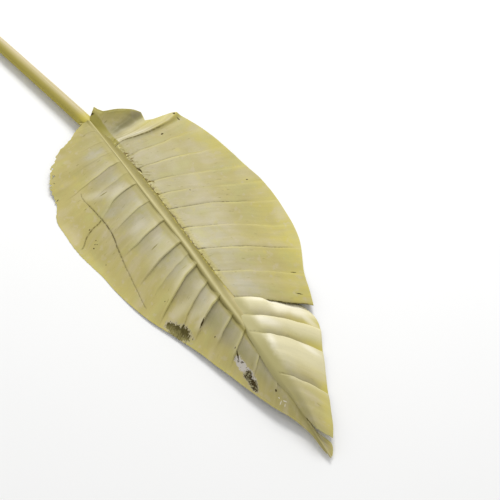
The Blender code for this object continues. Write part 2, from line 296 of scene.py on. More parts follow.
RIGHT_PLAN = HalfPlan(
    half=Half.RIGHT,
    sign=1,
    margin=(
        (-0.012, 0.0100), (-0.004, 0.0150), (0.005, 0.023), (0.013, 0.038), (0.020, 0.0520),
        (0.028, 0.0650), (0.035, 0.0740), (0.053, 0.0855), (0.076, 0.0945), (0.104, 0.1004),
        (0.127, 0.1050), (0.144, 0.1090), (0.169, 0.1098), (0.194, 0.1074), (0.223, 0.1008),
        (0.253, 0.0855), (0.285, 0.0735), (0.310, 0.0648), (0.329, 0.0537), (0.357, 0.0387),
        (0.384, 0.0246), (0.400, 0.0157), (0.4095, 0.0088),
    ),
    margin_height=(
        (0.000, 0.0150), (0.030, 0.0160), (0.050, 0.0130), (0.090, 0.0070), (0.130, 0.0006),
        (0.155, -0.0018), (0.200, -0.0018), (0.225, 0.0008), (0.256, 0.0042), (0.258, 0.0036),
        (0.300, 0.0012), (0.360, 0.0030), (0.391, 0.0075),
    ),
    vein_angle=(
        (0.000, 128.0), (0.010, 119.0), (0.025, 108.0), (0.048, 100.5), (0.085, 88.5),
        (0.105, 84.0), (0.123, 81.0), (0.144, 78.5), (0.167, 75.0), (0.198, 74.0),
        (0.225, 71.0), (0.257, 68.0), (0.277, 65.0), (0.297, 59.0), (0.337, 51.5),
        (0.364, 44.0), (0.380, 30.0), (0.391, 13.0),
    ),
    vein_bend=(
        (0.000, 0.5), (0.085, 1.5), (0.144, 1.0), (0.198, 1.0), (0.225, 1.2), (0.257, 3.6),
        (0.277, 3.0), (0.337, 2.4), (0.364, 2.4), (0.380, -8.0), (0.391, -25.0),
    ),
    creases=(
        Crease(0.014, 0.0003, 0.0, 0.3), Crease(0.030, 0.0003, 0.0, 0.3),
        Crease(0.048, 0.0004, 0.00, 0.75, 0.2), Crease(0.066, 0.0009, 0.50, 0.55, 0.1),
        Crease(0.085, 0.0012, 0.70, 0.60, 0.2), Crease(0.105, 0.0012, 0.60, 0.40, 0.1),
        Crease(0.123, 0.0009, 0.60, 0.35, 0.1), Crease(0.144, 0.0016, 1.00, 0.80, 0.3),
        Crease(0.1695, 0.0011, 0.80, 0.50, 0.1), Crease(0.198, 0.0017, 1.00, 0.95, 0.3),
        Crease(0.225, 0.0014, 0.85, 0.40, 0.2), Crease(0.257, 0.0028, 0.70, 0.45, 0.5),
        Crease(0.277, 0.0030, 0.22, 0.7, 0.7), Crease(0.297, 0.0030, 0.28, 0.8, 0.8),
        Crease(0.342, 0.0026, 0.45, 0.9, 1.0),
    ),
    base_wave=(
        (0.000, 0.0020), (0.010, 0.0062), (0.021, 0.0070), (0.028, 0.0030), (0.034, -0.0036),
        (0.040, -0.0010), (0.0455, 0.0032), (0.0478, 0.0036), (0.0494, 0.0016), (0.056, 0.0006),
        (0.064, 0.0),
    ),
    join_depth=(
        (0.0, 0.0026), (0.255, 0.0026), (0.272, 0.0018), (0.290, 0.0006), (0.305, -0.0003),
        (0.42, -0.0003),
    ),
    arch_power=1.60,
    bell_share=0.40,
    first_vein=0.0,
    last_vein=0.391,
    trim=(
        (0.0, 0.02), (0.006, 0.18), (0.012, 0.24), (0.020, 0.12), (0.027, 0.03), (0.031, 0.03),
        (0.034, 0.12), (0.038, 0.24), (0.043, 0.22), (0.0462, 0.06), (0.048, 0.0), (0.42, 0.0),
    ),
    inner_edge=(
        (0.262, 0.0), (0.285, -0.0008), (0.300, -0.0026), (0.316, -0.0036), (0.334, -0.0048),
        (0.349, -0.0044), (0.360, -0.0020), (0.372, -0.0011), (0.383, 0.0), (0.391, 0.0012),
    ),
    wanders=(
        Wander(0.048, 0.010, (
            (0.00, -0.0010), (0.15, -0.0022), (0.39, 0.0012), (0.68, 0.0046), (0.88, 0.0036),
            (1.00, 0.0012),
        )),
    ),
)

STRIP_PLAN = HalfPlan(
    half=Half.STRIP,
    sign=1,
    margin=((0.4070, 0.0057), (0.4124, 0.0062), (0.4160, 0.0048), (0.420, 0.0012)),
    margin_height=((0.391, 0.0075), (0.417, 0.0022)),
    vein_angle=((0.391, 19.0), (0.420, 27.0)),
    vein_bend=((0.391, -0.5), (0.420, -0.5)),
    creases=(Crease(0.402, 0.0003, 0.05),),
    base_wave=((0.391, 0.0), (0.420, 0.0)),
    join_depth=((0.0, 0.0012), (0.42, 0.0012)),
    arch_power=1.0,
    bell_share=0.0,
    first_vein=0.3925,
    last_vein=0.416,
)


class LeafPlace:
    """Where the leaf frame lies in the frame of the solid."""

    def __init__(self, sizes: LeafSizes) -> None:
        """Find the base of the blade from the solid's box.

        Args:
            sizes: the leaf's driving dimensions.
        """
        low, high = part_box(LEAF_NODE)
        self.base = Vector((high.x - sizes.blade_length, low.y + sizes.left_reach, low.z))

    def moved(self, points: Numbers) -> Numbers:
        """Points of the leaf frame in the frame of the solid."""
        return points + np.array(self.base)


class Nodes:
    """Short ways to add and join shader nodes in one material."""

    def __init__(self, name: str) -> None:
        """Start a material with one Principled shader.

        Args:
            name: the material's name.
        """
        self.material = bpy.data.materials.new(name)
        self.material.use_nodes = True
        self.tree = self.material.node_tree
        self.shader = self.tree.nodes["Principled BSDF"]

    def give(self, socket: Socket, value: object) -> None:
        """Set a socket to a plain value, or link another socket to it.

        Args:
            socket: the socket that takes the value.
            value: a number, a colour or another socket.
        """
        if isinstance(value, Socket):
            self.tree.links.new(value, socket)
        elif isinstance(value, tuple) and len(value) == 3 and socket.type == "RGBA":
            socket.default_value = (*value, 1.0)
        else:
            socket.default_value = value

    def math(self, operation: str, *values: object) -> Socket:
        """Result of a math node on one to three values.

        Args:
            operation: Blender's name of the operation.
            values: numbers or sockets.

        Returns:
            The node's output.
        """
        node = self.tree.nodes.new("ShaderNodeMath")
        node.operation = operation
        for socket, value in zip(node.inputs, values):
            self.give(socket, value)
        return node.outputs[0]

    def times(self, first: object, second: object) -> Socket:
        """Product of two values."""
        return self.math("MULTIPLY", first, second)

    def plus(self, first: object, second: object) -> Socket:
        """Sum of two values."""
        return self.math("ADD", first, second)

    def around(self, value: object, height: float) -> Socket:
        """A 0 to 1 value carried to a range of this height around zero."""
        return self.math("MULTIPLY_ADD", value, height, -height / 2)

    def mix(self, share: object, first: object, second: object, blend: str = "MIX") -> Socket:
        """Mix of two colours.

        Args:
            share: share of the second colour, a number or a socket.
            first: colour or socket.
            second: colour or socket.
            blend: Blender's name of the way to mix.

        Returns:
            The mixed colour.
        """
        node = self.tree.nodes.new("ShaderNodeMix")
        node.data_type = "RGBA"
        node.blend_type = blend
        node.clamp_factor = True
        self.give(node.inputs[0], share)
        self.give(node.inputs[6], first)
        self.give(node.inputs[7], second)
        return node.outputs[2]

    def toned(self, colour: object, tone: Socket) -> Socket:
        """The colour made darker or lighter by a factor."""
        return self.mix(1.0, colour, self.join(tone, tone, tone), "MULTIPLY")

    def spread(self, value: object, low: float, high: float, start: float = 0.0, end: float = 1.0) -> Socket:
        """Value carried smoothly from one range to another.

        Args:
            value: number or socket.
            low: value that gives start.
            high: value that gives end.
            start: result at low.
            end: result at high.

        Returns:
            The carried value.
        """
        node = self.tree.nodes.new("ShaderNodeMapRange")
        node.interpolation_type = "SMOOTHSTEP"
        for socket, number in zip(node.inputs, (value, low, high, start, end)):
            self.give(socket, number)
        return node.outputs[0]

    def read(self, name: str) -> Socket:
        """Read a number that the mesh holds.

        Args:
            name: the name that the mesh holds it under.

        Returns:
            The number at the point that is shaded.
        """
        node = self.tree.nodes.new("ShaderNodeAttribute")
        node.attribute_name = name
        return node.outputs["Fac"]

    def join(self, x: object, y: object, z: object = 0.0) -> Socket:
        """Join three values.

        Args:
            x: number or socket.
            y: number or socket.
            z: number or socket.

        Returns:
            The vector.
        """
        node = self.tree.nodes.new("ShaderNodeCombineXYZ")
        for socket, value in zip(node.inputs, (x, y, z)):
            self.give(socket, value)
        return node.outputs[0]

    def place(self) -> Socket:
        """Place on the piece, in metres."""
        return self.tree.nodes.new("ShaderNodeTexCoord").outputs["Object"]

    def noise(self, where: Socket, scale: float, detail: float = 3.0, rough: float = 0.55) -> Socket:
        """Soft noise from 0 to 1.

        Args:
            where: the vector that the noise is read at.
            scale: noise cells in one unit of that vector.
            detail: octaves.
            rough: how much the finer octaves count.

        Returns:
            The noise value.
        """
        node = self.tree.nodes.new("ShaderNodeTexNoise")
        settings = {"Vector": where, "Scale": scale, "Detail": detail, "Roughness": rough}
        for name, value in settings.items():
            self.give(node.inputs[name], value)
        return node.outputs["Fac"]

    def bump(self, height: Socket, distance: float, under: Socket | None = None) -> Socket:
        """Normal of a fine relief.

        Args:
            height: relief from 0 to 1.
            distance: the relief's real height in metres.
            under: normal that the relief lies on.

        Returns:
            The normal.
        """
        node = self.tree.nodes.new("ShaderNodeBump")
        node.inputs["Strength"].default_value = 1.0
        node.inputs["Distance"].default_value = distance
        self.give(node.inputs["Height"], height)
        if under is not None:
            self.give(node.inputs["Normal"], under)
        return node.outputs["Normal"]

    def finished(
        self, colour: Socket, rough: object, specular: float, normal: Socket | None = None
    ) -> bpy.types.Material:
        """Give the shader its values.

        Args:
            colour: the base colour.
            rough: roughness, a number or a socket.
            specular: how strongly the surface shines.
            normal: normal of the fine relief.

        Returns:
            The material.
        """
        self.give(self.shader.inputs["Base Color"], colour)
        self.give(self.shader.inputs["Roughness"], rough)
        self.shader.inputs["Specular IOR Level"].default_value = specular
        if normal is not None:
            self.give(self.shader.inputs["Normal"], normal)
        return self.material


@dataclass(frozen=True)
class PlaceNoise:
    """Noise of one size in every direction: cells in a metre, octaves, how much the fine ones count."""

    cells: float
    detail: float = 3.0
    rough: float = 0.55

    def made(self, nodes: Nodes) -> Socket:
        """The noise's value, from 0 to 1."""
        return nodes.noise(nodes.place(), self.cells, self.detail, self.rough)


@dataclass(frozen=True)
class DrawnNoise:
    """Noise drawn out along one of two numbers that the mesh holds: their names, cells in one of each."""

    axes: tuple[str, str]
    cells: tuple[float, float]
    detail: float = 2.0
    rough: float = 0.55

    def made(self, nodes: Nodes) -> Socket:
        """The noise's value, from 0 to 1."""
        first, second = (nodes.times(nodes.read(axis), count) for axis, count in zip(self.axes, self.cells))
        return nodes.noise(nodes.join(first, second), 1.0, self.detail, self.rough)


@dataclass(frozen=True)
class Veil:
    """A colour that comes in where a value runs from low to high, up to a share of most."""

    colour: Colour
    low: float
    high: float
    most: float = 1.0

    def over(self, nodes: Nodes, ground: object, value: Socket) -> Socket:
        """The ground's colour with the veil on it."""
        return nodes.mix(nodes.spread(value, self.low, self.high, 0.0, self.most), ground, self.colour)


@dataclass(frozen=True)
class BladeColours:
    """Colours of the dried blade and of the marks on it, and of the light and shade painted on it."""

    khaki: Colour = srgb(182, 171, 114)
    outer: Colour = srgb(184, 172, 108)
    yellow: Colour = srgb(198, 186, 94)
    # Grey bloom beside the midrib, partly a painted sheen of the pale surroundings.
    bloom_and_sheen: Colour = srgb(188, 182, 156)
    # Painted light on the lit sides of the crests, of the lobe's pillows and of the fold's ridges and slope.
    cream: Colour = srgb(219, 211, 171)
    # Painted highlights: glossy patches on the lobe's pillows, pale patches on the left pleats, and
    # highlights on the fold's crest and beside the tear.
    white: Colour = srgb(240, 234, 214)
    # Painted shade in the crease valleys and in the fold beside the base; valley_shade is its cooler grey in
    # patches.
    shade: Colour = srgb(140, 135, 98)
    valley_shade: Colour = srgb(152, 144, 118)
    # Dark crease lines, the crack and the torn brink, and the painted shadow beside the tear.
    line: Colour = srgb(88, 76, 12)
    # Painted highlight on the lips of the creases and on the upturned margin beside the base; also the pale
    # flakes along the cracked edge of the midrib.
    lip: Colour = srgb(212, 203, 130)
    green: Colour = srgb(184, 178, 112)
    blush: Colour = srgb(196, 184, 154)
    left_hem: Colour = srgb(170, 160, 98)
    right_hem: Colour = srgb(180, 168, 86)
    lobe_hem: Colour = srgb(182, 174, 122)
    tip_hem: Colour = srgb(172, 164, 110)
    strip: Colour = srgb(150, 141, 66)
    # Olive of the flecks, vein roots and olive spots, and of the painted shade in the crevice beside the
    # midrib.
    olive_and_crevice_shade: Colour = srgb(132, 122, 56)
    brown: Colour = srgb(104, 84, 6)
    char: Colour = srgb(62, 48, 0)
    soot: Colour = srgb(70, 60, 34)
    burn: Colour = srgb(86, 78, 36)
    stain: Colour = srgb(142, 134, 82)
    net: Colour = srgb(160, 154, 118)
    lilac: Colour = srgb(186, 178, 168)
    mould: Colour = srgb(206, 200, 194)
    pale: Colour = srgb(232, 226, 206)


BLADE = BladeColours()
VEINS = ("station", "span")
FIBRES = ("run", "turn")


class Tint(Enum):
    """The tints a small mark can have."""

    CHAR = "char"
    BROWN = "brown"
    OLIVE = "olive"
    PALE = "pale"


TINT_COLOURS = {
    Tint.CHAR: BLADE.char, Tint.BROWN: BLADE.brown, Tint.OLIVE: BLADE.olive_and_crevice_shade, Tint.PALE: BLADE.pale,
}


@dataclass(frozen=True)
class Spot:
    """A small mark: its place in the leaf frame, its half width, how long it is drawn, its turn."""

    x: float
    y: float
    radius: float
    stretch: float = 1.0
    turn: float = 0.0
    tint: Tint = Tint.CHAR


SPOTS = (
    Spot(0.1120, -0.0590, 0.0006), Spot(0.1257, -0.0597, 0.0005, 1.2, 40.0),
    Spot(0.1285, -0.0623, 0.0005), Spot(0.1300, -0.0608, 0.0004),
    Spot(0.1313, -0.0650, 0.0006, 1.3), Spot(0.1529, -0.0642, 0.0004),
    Spot(0.2775, -0.0237, 0.0005), Spot(0.0548, 0.0522, 0.0007, 1.8, 100.0),
    Spot(0.0397, 0.0744, 0.0009, 1.3, 60.0), Spot(0.0455, 0.0758, 0.0005, 3.6, 10.0),
    Spot(0.1321, 0.0380, 0.0005), Spot(0.1397, 0.0960, 0.0005, 2.2, 78.0),
    Spot(0.2520, 0.0746, 0.0004, 6.0, 66.0), Spot(0.2767, 0.0640, 0.0006, 4.6, 60.0),
    Spot(0.3500, -0.0083, 0.0006, 1.5), Spot(0.2213, -0.0412, 0.0004),
    Spot(0.2605, -0.0262, 0.0007, 5.0, -60.0), Spot(0.3040, -0.0172, 0.0006, 5.5, -20.0),
    Spot(0.2982, -0.0160, 0.0004, 2.0, -62.0), Spot(0.0878, 0.0097, 0.0008, 5.0, 2.0),
    Spot(0.1050, 0.0110, 0.0007, 3.2, 50.0, Tint.BROWN),
    Spot(0.1075, 0.0128, 0.0005, 2.4, 30.0, Tint.BROWN),
    Spot(0.0545, 0.0098, 0.0005, 3.0, 20.0, Tint.OLIVE),
    Spot(0.0605, 0.0104, 0.0005, 2.5, 60.0, Tint.BROWN),
    Spot(0.0695, 0.0114, 0.0005, 3.0, 70.0, Tint.BROWN),
    Spot(0.0755, 0.0120, 0.0004, 6.0, 62.0, Tint.OLIVE),
    Spot(0.0805, 0.0135, 0.0004, 7.0, 60.0, Tint.OLIVE),
    Spot(0.0930, 0.0140, 0.0004, 9.0, 58.0, Tint.OLIVE),
    Spot(0.0965, 0.0130, 0.0004, 8.0, 60.0, Tint.OLIVE),
    Spot(0.1140, 0.0105, 0.0004, 5.0, 62.0, Tint.OLIVE),
    Spot(0.1225, 0.0092, 0.0006, 2.6, 30.0, Tint.BROWN),
    Spot(0.1310, 0.0100, 0.0004, 6.0, 66.0, Tint.OLIVE),
    Spot(-0.0040, 0.0066, 0.0012, 1.6, 30.0),
    Spot(0.0900, -0.0310, 0.0004, 9.0, 84.0, Tint.OLIVE),
    Spot(0.1730, -0.0228, 0.0004, 8.0, 96.0, Tint.OLIVE),
    Spot(0.3614, -0.0070, 0.0003, 6.0, 29.0, Tint.PALE),
    Spot(0.3600, -0.0100, 0.0003, 5.0, -60.0, Tint.PALE),
    Spot(0.3640, -0.0084, 0.0003, 3.0, -40.0, Tint.PALE),
    Spot(0.3560, -0.0092, 0.0003, 2.5, 10.0, Tint.PALE),
)


@dataclass(frozen=True)
class SpotFinish:
    """Small marks, each an oval with an uneven edge that reaches through the sheet."""

    wobble: PlaceNoise = PlaceNoise(1100.0, 2.0)
    wobble_height: float = 1.6
    edge: Stretch = (1.4, 0.7)
    depth: float = 1000.0

    def share(self, nodes: Nodes, spot: Spot, wobble: Socket, base: Vector) -> Socket:
        """Share of one spot's colour.

        Args:
            nodes: the material being made.
            spot: the mark.
            wobble: noise that makes the mark's edge uneven.
            base: where the leaf frame's origin is on the piece.

        Returns:
            1 inside the spot, 0 outside.
        """
        turned = nodes.tree.nodes.new("ShaderNodeMapping")
        turned.vector_type = "TEXTURE"
        turned.inputs["Location"].default_value = (spot.x + base.x, spot.y + base.y, 0.0)
        turned.inputs["Rotation"].default_value = (0.0, 0.0, math.radians(spot.turn))
        turned.inputs["Scale"].default_value = (spot.radius * spot.stretch, spot.radius, self.depth)
        nodes.give(turned.inputs["Vector"], nodes.place())
        length = nodes.tree.nodes.new("ShaderNodeVectorMath")
        length.operation = "LENGTH"
        nodes.give(length.inputs[0], turned.outputs[0])
        return nodes.spread(nodes.plus(length.outputs["Value"], wobble), *self.edge)

    def over(self, nodes: Nodes, colour: Socket, half: Half, base: Vector) -> tuple[Socket, object]:
        """The colour with one half's spots on it.

        Args:
            nodes: the material being made.
            colour: colour of the blade.
            half: which half it is for.
            base: where the leaf frame's origin is on the piece.

        Returns:
            The colour, and how strong the dark spots are.
        """
        wobble = nodes.around(self.wobble.made(nodes), self.wobble_height)
        sign = -1 if half is Half.LEFT else 1
        dark: object = 0.0
        for spot in SPOTS:
            if spot.y * sign > 0:
                share = self.share(nodes, spot, wobble, base)
                colour = nodes.mix(share, colour, TINT_COLOURS[spot.tint])
                if spot.tint in (Tint.CHAR, Tint.BROWN):
                    dark = nodes.math("MAXIMUM", dark, share)
        return colour, dark


@dataclass(frozen=True)
class ScarFinish:
    """Pale mould with black specks, a broad burnt stain at the margin and a scab with a pale net in it.

    Each stretch says over which values of a noise or of a number of the mesh a colour comes in.
    """

    coarse: PlaceNoise = PlaceNoise(330.0, 3.0, 0.65)
    fine: PlaceNoise = PlaceNoise(640.0, 2.0, 0.7)
    streaks: DrawnNoise = DrawnNoise(VEINS, (1100.0, 90.0), 3.0, 0.65)
    coarse_height: float = 1.2
    streak_height: float = 1.4
    fine_height: float = 0.9
    mould_edge: Stretch = (0.42, 0.62)
    mould_near: Stretch = (0.05, 0.3)
    mould_share: float = 0.85
    speck_edge: Stretch = (0.60, 0.66)
    speck_near: Stretch = (0.2, 0.6)
    ring_edge: Stretch = (0.22, 0.40)
    ring_share: float = 0.45
    scab_edge: Stretch = (0.46, 0.60)
    scab_near: Stretch = (0.04, 0.25)
    soot: Veil = Veil(BLADE.soot, 0.40, 0.50)
    net: Veil = Veil(BLADE.net, 0.53, 0.59, 0.9)
    stain: Veil = Veil(BLADE.stain, 0.85, 0.97)
    stain_drift: float = 0.16
    char_streaks: Veil = Veil(BLADE.char, 0.55, 0.64, 0.75)
    stain_to_scab: Stretch = (0.270, 0.285)

    def over(self, nodes: Nodes, colour: Socket) -> tuple[Socket, Socket]:
        """The colour with the mould and the scabs on it.

        Args:
            nodes: the material being made.
            colour: colour of the sound blade.

        Returns:
            The colour, and how burnt each place is.
        """
        coarse, fine, streaks = (noise.made(nodes) for noise in (self.coarse, self.fine, self.streaks))
        ragged = nodes.around(coarse, self.coarse_height)
        ragged = nodes.plus(ragged, nodes.around(streaks, self.streak_height))
        ragged = nodes.plus(ragged, nodes.around(fine, self.fine_height))
        mould, scab = nodes.read("mould"), nodes.read("scab")
        mouldy = nodes.spread(nodes.plus(mould, ragged), *self.mould_edge)
        mouldy = nodes.times(mouldy, nodes.spread(mould, *self.mould_near))
        colour = nodes.mix(nodes.times(mouldy, self.mould_share), colour, BLADE.mould)
        specks = nodes.times(nodes.spread(coarse, *self.speck_edge), nodes.spread(mould, *self.speck_near))
        colour = nodes.mix(specks, colour, BLADE.char)
        near = nodes.spread(scab, *self.scab_near)
        uneven = nodes.plus(scab, ragged)
        ring = nodes.times(nodes.spread(uneven, *self.ring_edge), nodes.times(near, self.ring_share))
        colour = nodes.mix(ring, colour, BLADE.lilac)
        burnt = nodes.times(nodes.spread(uneven, *self.scab_edge), near)
        ember = self.net.over(nodes, self.soot.over(nodes, BLADE.char, fine), fine)
        outward = nodes.plus(nodes.read("share"), nodes.around(coarse, self.stain_drift))
        broad = self.char_streaks.over(nodes, self.stain.over(nodes, BLADE.burn, outward), streaks)
        ember = nodes.mix(nodes.spread(nodes.read("station"), *self.stain_to_scab), broad, ember)
        return nodes.mix(burnt, colour, ember), burnt


@dataclass(frozen=True)
class RibSideFinish:
    """The blade beside the midrib: its hem, the painted shade in its crevice, and the cracked edge of the
    right half.

    Edges are stretches of the distance beyond the midrib in millimetres, from where a colour ends to
    where it is full. Starts and ends are stretches of the place along the midrib in metres.
    """

    uneven: PlaceNoise = PlaceNoise(260.0, 3.0, 0.6)
    hem_wobble: float = 2.0
    hem_edge: Stretch = (1.0, 0.42)
    crevice_edge: Stretch = (1.4, 0.2)
    lobe_start: Stretch = (0.250, 0.262)
    lobe_end: Carry = (0.375, 0.335, 0.3, 1.0)
    lobe_edge: Stretch = (7.5, -0.5)
    tip_hem: Veil = Veil(BLADE.tip_hem, 0.290, 0.318)
    strip_wobble: float = 1.8
    strip_edge: Stretch = (3.8, 2.0)
    strip_end: Stretch = (0.062, 0.046)
    roots: DrawnNoise = DrawnNoise(VEINS, (2200.0, 180.0), 2.0, 0.7)
    root_length: Carry = (0.48, 0.70, 0.5, 10.0)
    root_edge: Stretch = (1.1, 0.5)
    root_start: Stretch = (0.48, 0.58)
    root_share: float = 0.8
    crack_wobble: float = 3.4
    crack_edge: Stretch = (2.2, 0.6)
    pale: PlaceNoise = PlaceNoise(380.0, 2.0)
    pale_start: Stretch = (0.50, 0.60)
    flaws: PlaceNoise = PlaceNoise(210.0, 4.0, 0.75)
    flaw_start: Stretch = (0.49, 0.56)

    def over(self, nodes: Nodes, colour: Socket, half: Half) -> Socket:
        """The colour with the hem and the crevice's painted shade, and on the right half with its own hem and
        cracks.

        Args:
            nodes: the material being made.
            colour: colour of the blade.
            half: which half it is for.

        Returns:
            The colour.
        """
        beyond = nodes.read("beyond")
        uneven = nodes.around(self.uneven.made(nodes), 1.0)
        strayed = nodes.plus(beyond, nodes.times(uneven, self.hem_wobble))
        near = nodes.spread(nodes.math("DIVIDE", strayed, nodes.read("hem_reach")), *self.hem_edge)
        hem_colour = BLADE.left_hem if half is Half.LEFT else BLADE.right_hem
        colour = nodes.mix(nodes.times(nodes.read("hem"), near), colour, hem_colour)
        # Painted shade in the crevice where the blade meets the midrib.
        olive_and_crevice_shade = nodes.spread(nodes.plus(beyond, uneven), *self.crevice_edge)
        colour = nodes.mix(nodes.times(nodes.read("olive_and_crevice_shade"), olive_and_crevice_shade), colour, BLADE.olive_and_crevice_shade)
        if half is not Half.RIGHT:
            return colour
        station = nodes.read("station")
        lobe = nodes.times(nodes.spread(station, *self.lobe_start), nodes.spread(station, *self.lobe_end))
        strayed = nodes.plus(strayed, nodes.times(uneven, self.hem_wobble))
        lobe_hem = self.tip_hem.over(nodes, BLADE.lobe_hem, station)
        colour = nodes.mix(nodes.times(lobe, nodes.spread(strayed, *self.lobe_edge)), colour, lobe_hem)
        strip = nodes.spread(nodes.plus(beyond, nodes.times(uneven, self.strip_wobble)), *self.strip_edge)
        strip = nodes.times(nodes.spread(station, *self.strip_end), strip)
        return self.cracked(nodes, nodes.mix(strip, colour, BLADE.strip), beyond, uneven)

    def cracked(self, nodes: Nodes, colour: Socket, beyond: Socket, uneven: Socket) -> Socket:
        """The colour with fine dark roots, pale flakes and brown flaws along the edge of the midrib.

        Args:
            nodes: the material being made.
            colour: colour of the blade.
            beyond: distance beyond the midrib, in millimetres.
            uneven: noise around zero that frays the edge.

        Returns:
            The colour.
        """
        crackle, roots = nodes.read("crackle"), self.roots.made(nodes)
        reach = nodes.spread(roots, *self.root_length)
        thin = nodes.spread(nodes.math("DIVIDE", beyond, reach), *self.root_edge)
        rooted = nodes.times(nodes.times(thin, nodes.spread(roots, *self.root_start)), crackle)
        colour = nodes.mix(nodes.times(rooted, self.root_share), colour, BLADE.olive_and_crevice_shade)
        away = nodes.math("ABSOLUTE", nodes.plus(beyond, nodes.times(uneven, self.crack_wobble)))
        edge = nodes.times(nodes.spread(away, *self.crack_edge), crackle)
        pale = nodes.spread(self.pale.made(nodes), *self.pale_start)
        colour = nodes.mix(nodes.times(pale, edge), colour, BLADE.lip)
        flaws = nodes.times(edge, nodes.spread(self.flaws.made(nodes), *self.flaw_start))
        return nodes.mix(flaws, colour, BLADE.brown)


@dataclass(frozen=True)
class BladeFinish:
    """Dried blade: khaki with a grey bloom and painted sheen beside the midrib, yellow margins and brown
    scars, and painted light and shade along its pleats.
    """

    patches: PlaceNoise = PlaceNoise(38.0)
    clouds: PlaceNoise = PlaceNoise(95.0, 2.0, 0.5)
    mottle: PlaceNoise = PlaceNoise(150.0, 2.0, 0.5)
    grain: PlaceNoise = PlaceNoise(900.0, 3.0, 0.6)
    breaks: PlaceNoise = PlaceNoise(420.0, 3.0, 0.7)
    streaks: DrawnNoise = DrawnNoise(VEINS, (800.0, 30.0), 3.0)
    broad: DrawnNoise = DrawnNoise(VEINS, (150.0, 34.0))
    tints: DrawnNoise = DrawnNoise(VEINS, (75.0, 32.0), 1.0)
    flecks: DrawnNoise = DrawnNoise(VEINS, (650.0, 105.0))
    share_drift: float = 0.6
    outer: Veil = Veil(BLADE.outer, 0.20, 0.75)
    left_rim: Veil = Veil(BLADE.yellow, 0.90, 1.12, 0.6)
    right_rim: Veil = Veil(BLADE.yellow, 0.66, 1.02, 0.9)
    bloom_gaps: Carry = (0.30, 0.60, 0.45, 1.0)
    blush_tint: Veil = Veil(BLADE.blush, 0.48, 0.75, 0.42)
    green_tint: Veil = Veil(BLADE.green, 0.48, 0.28, 0.50)
    yellow_clouds: Veil = Veil(BLADE.yellow, 0.60, 0.80, 0.40)
    blush_mottle: Veil = Veil(BLADE.blush, 0.58, 0.70, 0.35)
    green_mottle: Veil = Veil(BLADE.green, 0.42, 0.30, 0.35)
    fleck_edge: Stretch = (0.66, 0.72)
    fleck_fade: Carry = (0.95, 0.6, 0.0, 0.7)
    # Cooler grey in patches of the painted shade.
    valley_shade: Veil = Veil(BLADE.valley_shade, 0.46, 0.60)
    streak_tone: Carry = (0.25, 0.75, 0.98, 1.02)
    broad_tone: Carry = (0.3, 0.7, 0.97, 1.03)
    grain_tone: Carry = (0.3, 0.7, 0.98, 1.015)
    lip_gaps: Carry = (0.35, 0.60, 0.35, 1.0)
    line_gaps: Carry = (0.36, 0.60, 0.30, 1.0)
    roughness: Carry = (0.3, 0.7, 0.44, 0.56)
    burnt_roughness: float = 0.35
    specular: float = 0.3
    grain_height: float = 0.00004
    vein_height: float = 0.00003
    rib_side: RibSideFinish = RibSideFinish()
    scars: ScarFinish = ScarFinish()
    spots: SpotFinish = SpotFinish()

    def ground(self, nodes: Nodes, half: Half, patches: Socket) -> Socket:
        """Colour of the blade before its tone.

        Args:
            nodes: the material being made.
            half: which half it is for.
            patches: broad noise from 0 to 1.

        Returns:
            The colour.
        """
        clouds, mottle, tints = (noise.made(nodes) for noise in (self.clouds, self.mottle, self.tints))
        share = nodes.read("share")
        strayed = nodes.plus(share, nodes.around(patches, self.share_drift))
        colour = self.outer.over(nodes, BLADE.khaki, strayed)
        rim = self.left_rim if half is Half.LEFT else self.right_rim
        colour = rim.over(nodes, colour, strayed)
        # Grey bloom beside the midrib, partly a painted sheen.
        bloom_and_sheen = nodes.times(nodes.read("bloom_and_sheen"), nodes.spread(clouds, *self.bloom_gaps))
        colour = nodes.mix(bloom_and_sheen, colour, BLADE.bloom_and_sheen)
        for veil, noise in (
            (self.blush_tint, tints), (self.green_tint, tints), (self.yellow_clouds, clouds),
            (self.blush_mottle, mottle), (self.green_mottle, mottle),
        ):
            colour = veil.over(nodes, colour, noise)
        flecks = nodes.spread(self.flecks.made(nodes), *self.fleck_edge)
        flecks = nodes.times(flecks, nodes.spread(share, *self.fleck_fade))
        colour = nodes.mix(flecks, colour, BLADE.olive_and_crevice_shade)
        # Painted light on the lit sides of the crests, the lobe's pillows and the fold's ridges.
        colour = nodes.mix(nodes.read("cream"), colour, BLADE.cream)
        # Painted highlights.
        colour = nodes.mix(nodes.read("white"), colour, BLADE.white)
        # Painted shade in the valleys beside the creases and in the fold beside the base.
        return nodes.mix(nodes.read("shade"), colour, self.valley_shade.over(nodes, BLADE.shade, patches))

    def material(self, half: Half, base: Vector) -> bpy.types.Material:
        """Make the finish of one half.

        Args:
            half: which half it is for.
            base: where the leaf frame's origin is on the piece.

        Returns:
            The material.
        """
        nodes = Nodes(f"dried blade, {half.value}")
        patches, streaks = self.patches.made(nodes), self.streaks.made(nodes)
        broad, grain = self.broad.made(nodes), self.grain.made(nodes)
        tone = nodes.times(nodes.read("tone"), nodes.spread(streaks, *self.streak_tone))
        tone = nodes.times(tone, nodes.spread(broad, *self.broad_tone))
        tone = nodes.times(tone, nodes.spread(grain, *self.grain_tone))
        colour = nodes.toned(self.ground(nodes, half, patches), tone)
        # Painted highlight on the crease lips and on the upturned margin.
        lip = nodes.times(nodes.read("lip"), nodes.spread(broad, *self.lip_gaps))
        colour = nodes.mix(lip, colour, BLADE.lip)
        colour = nodes.mix(nodes.read("rim"), colour, BLADE.yellow)
        colour = self.rib_side.over(nodes, colour, half)
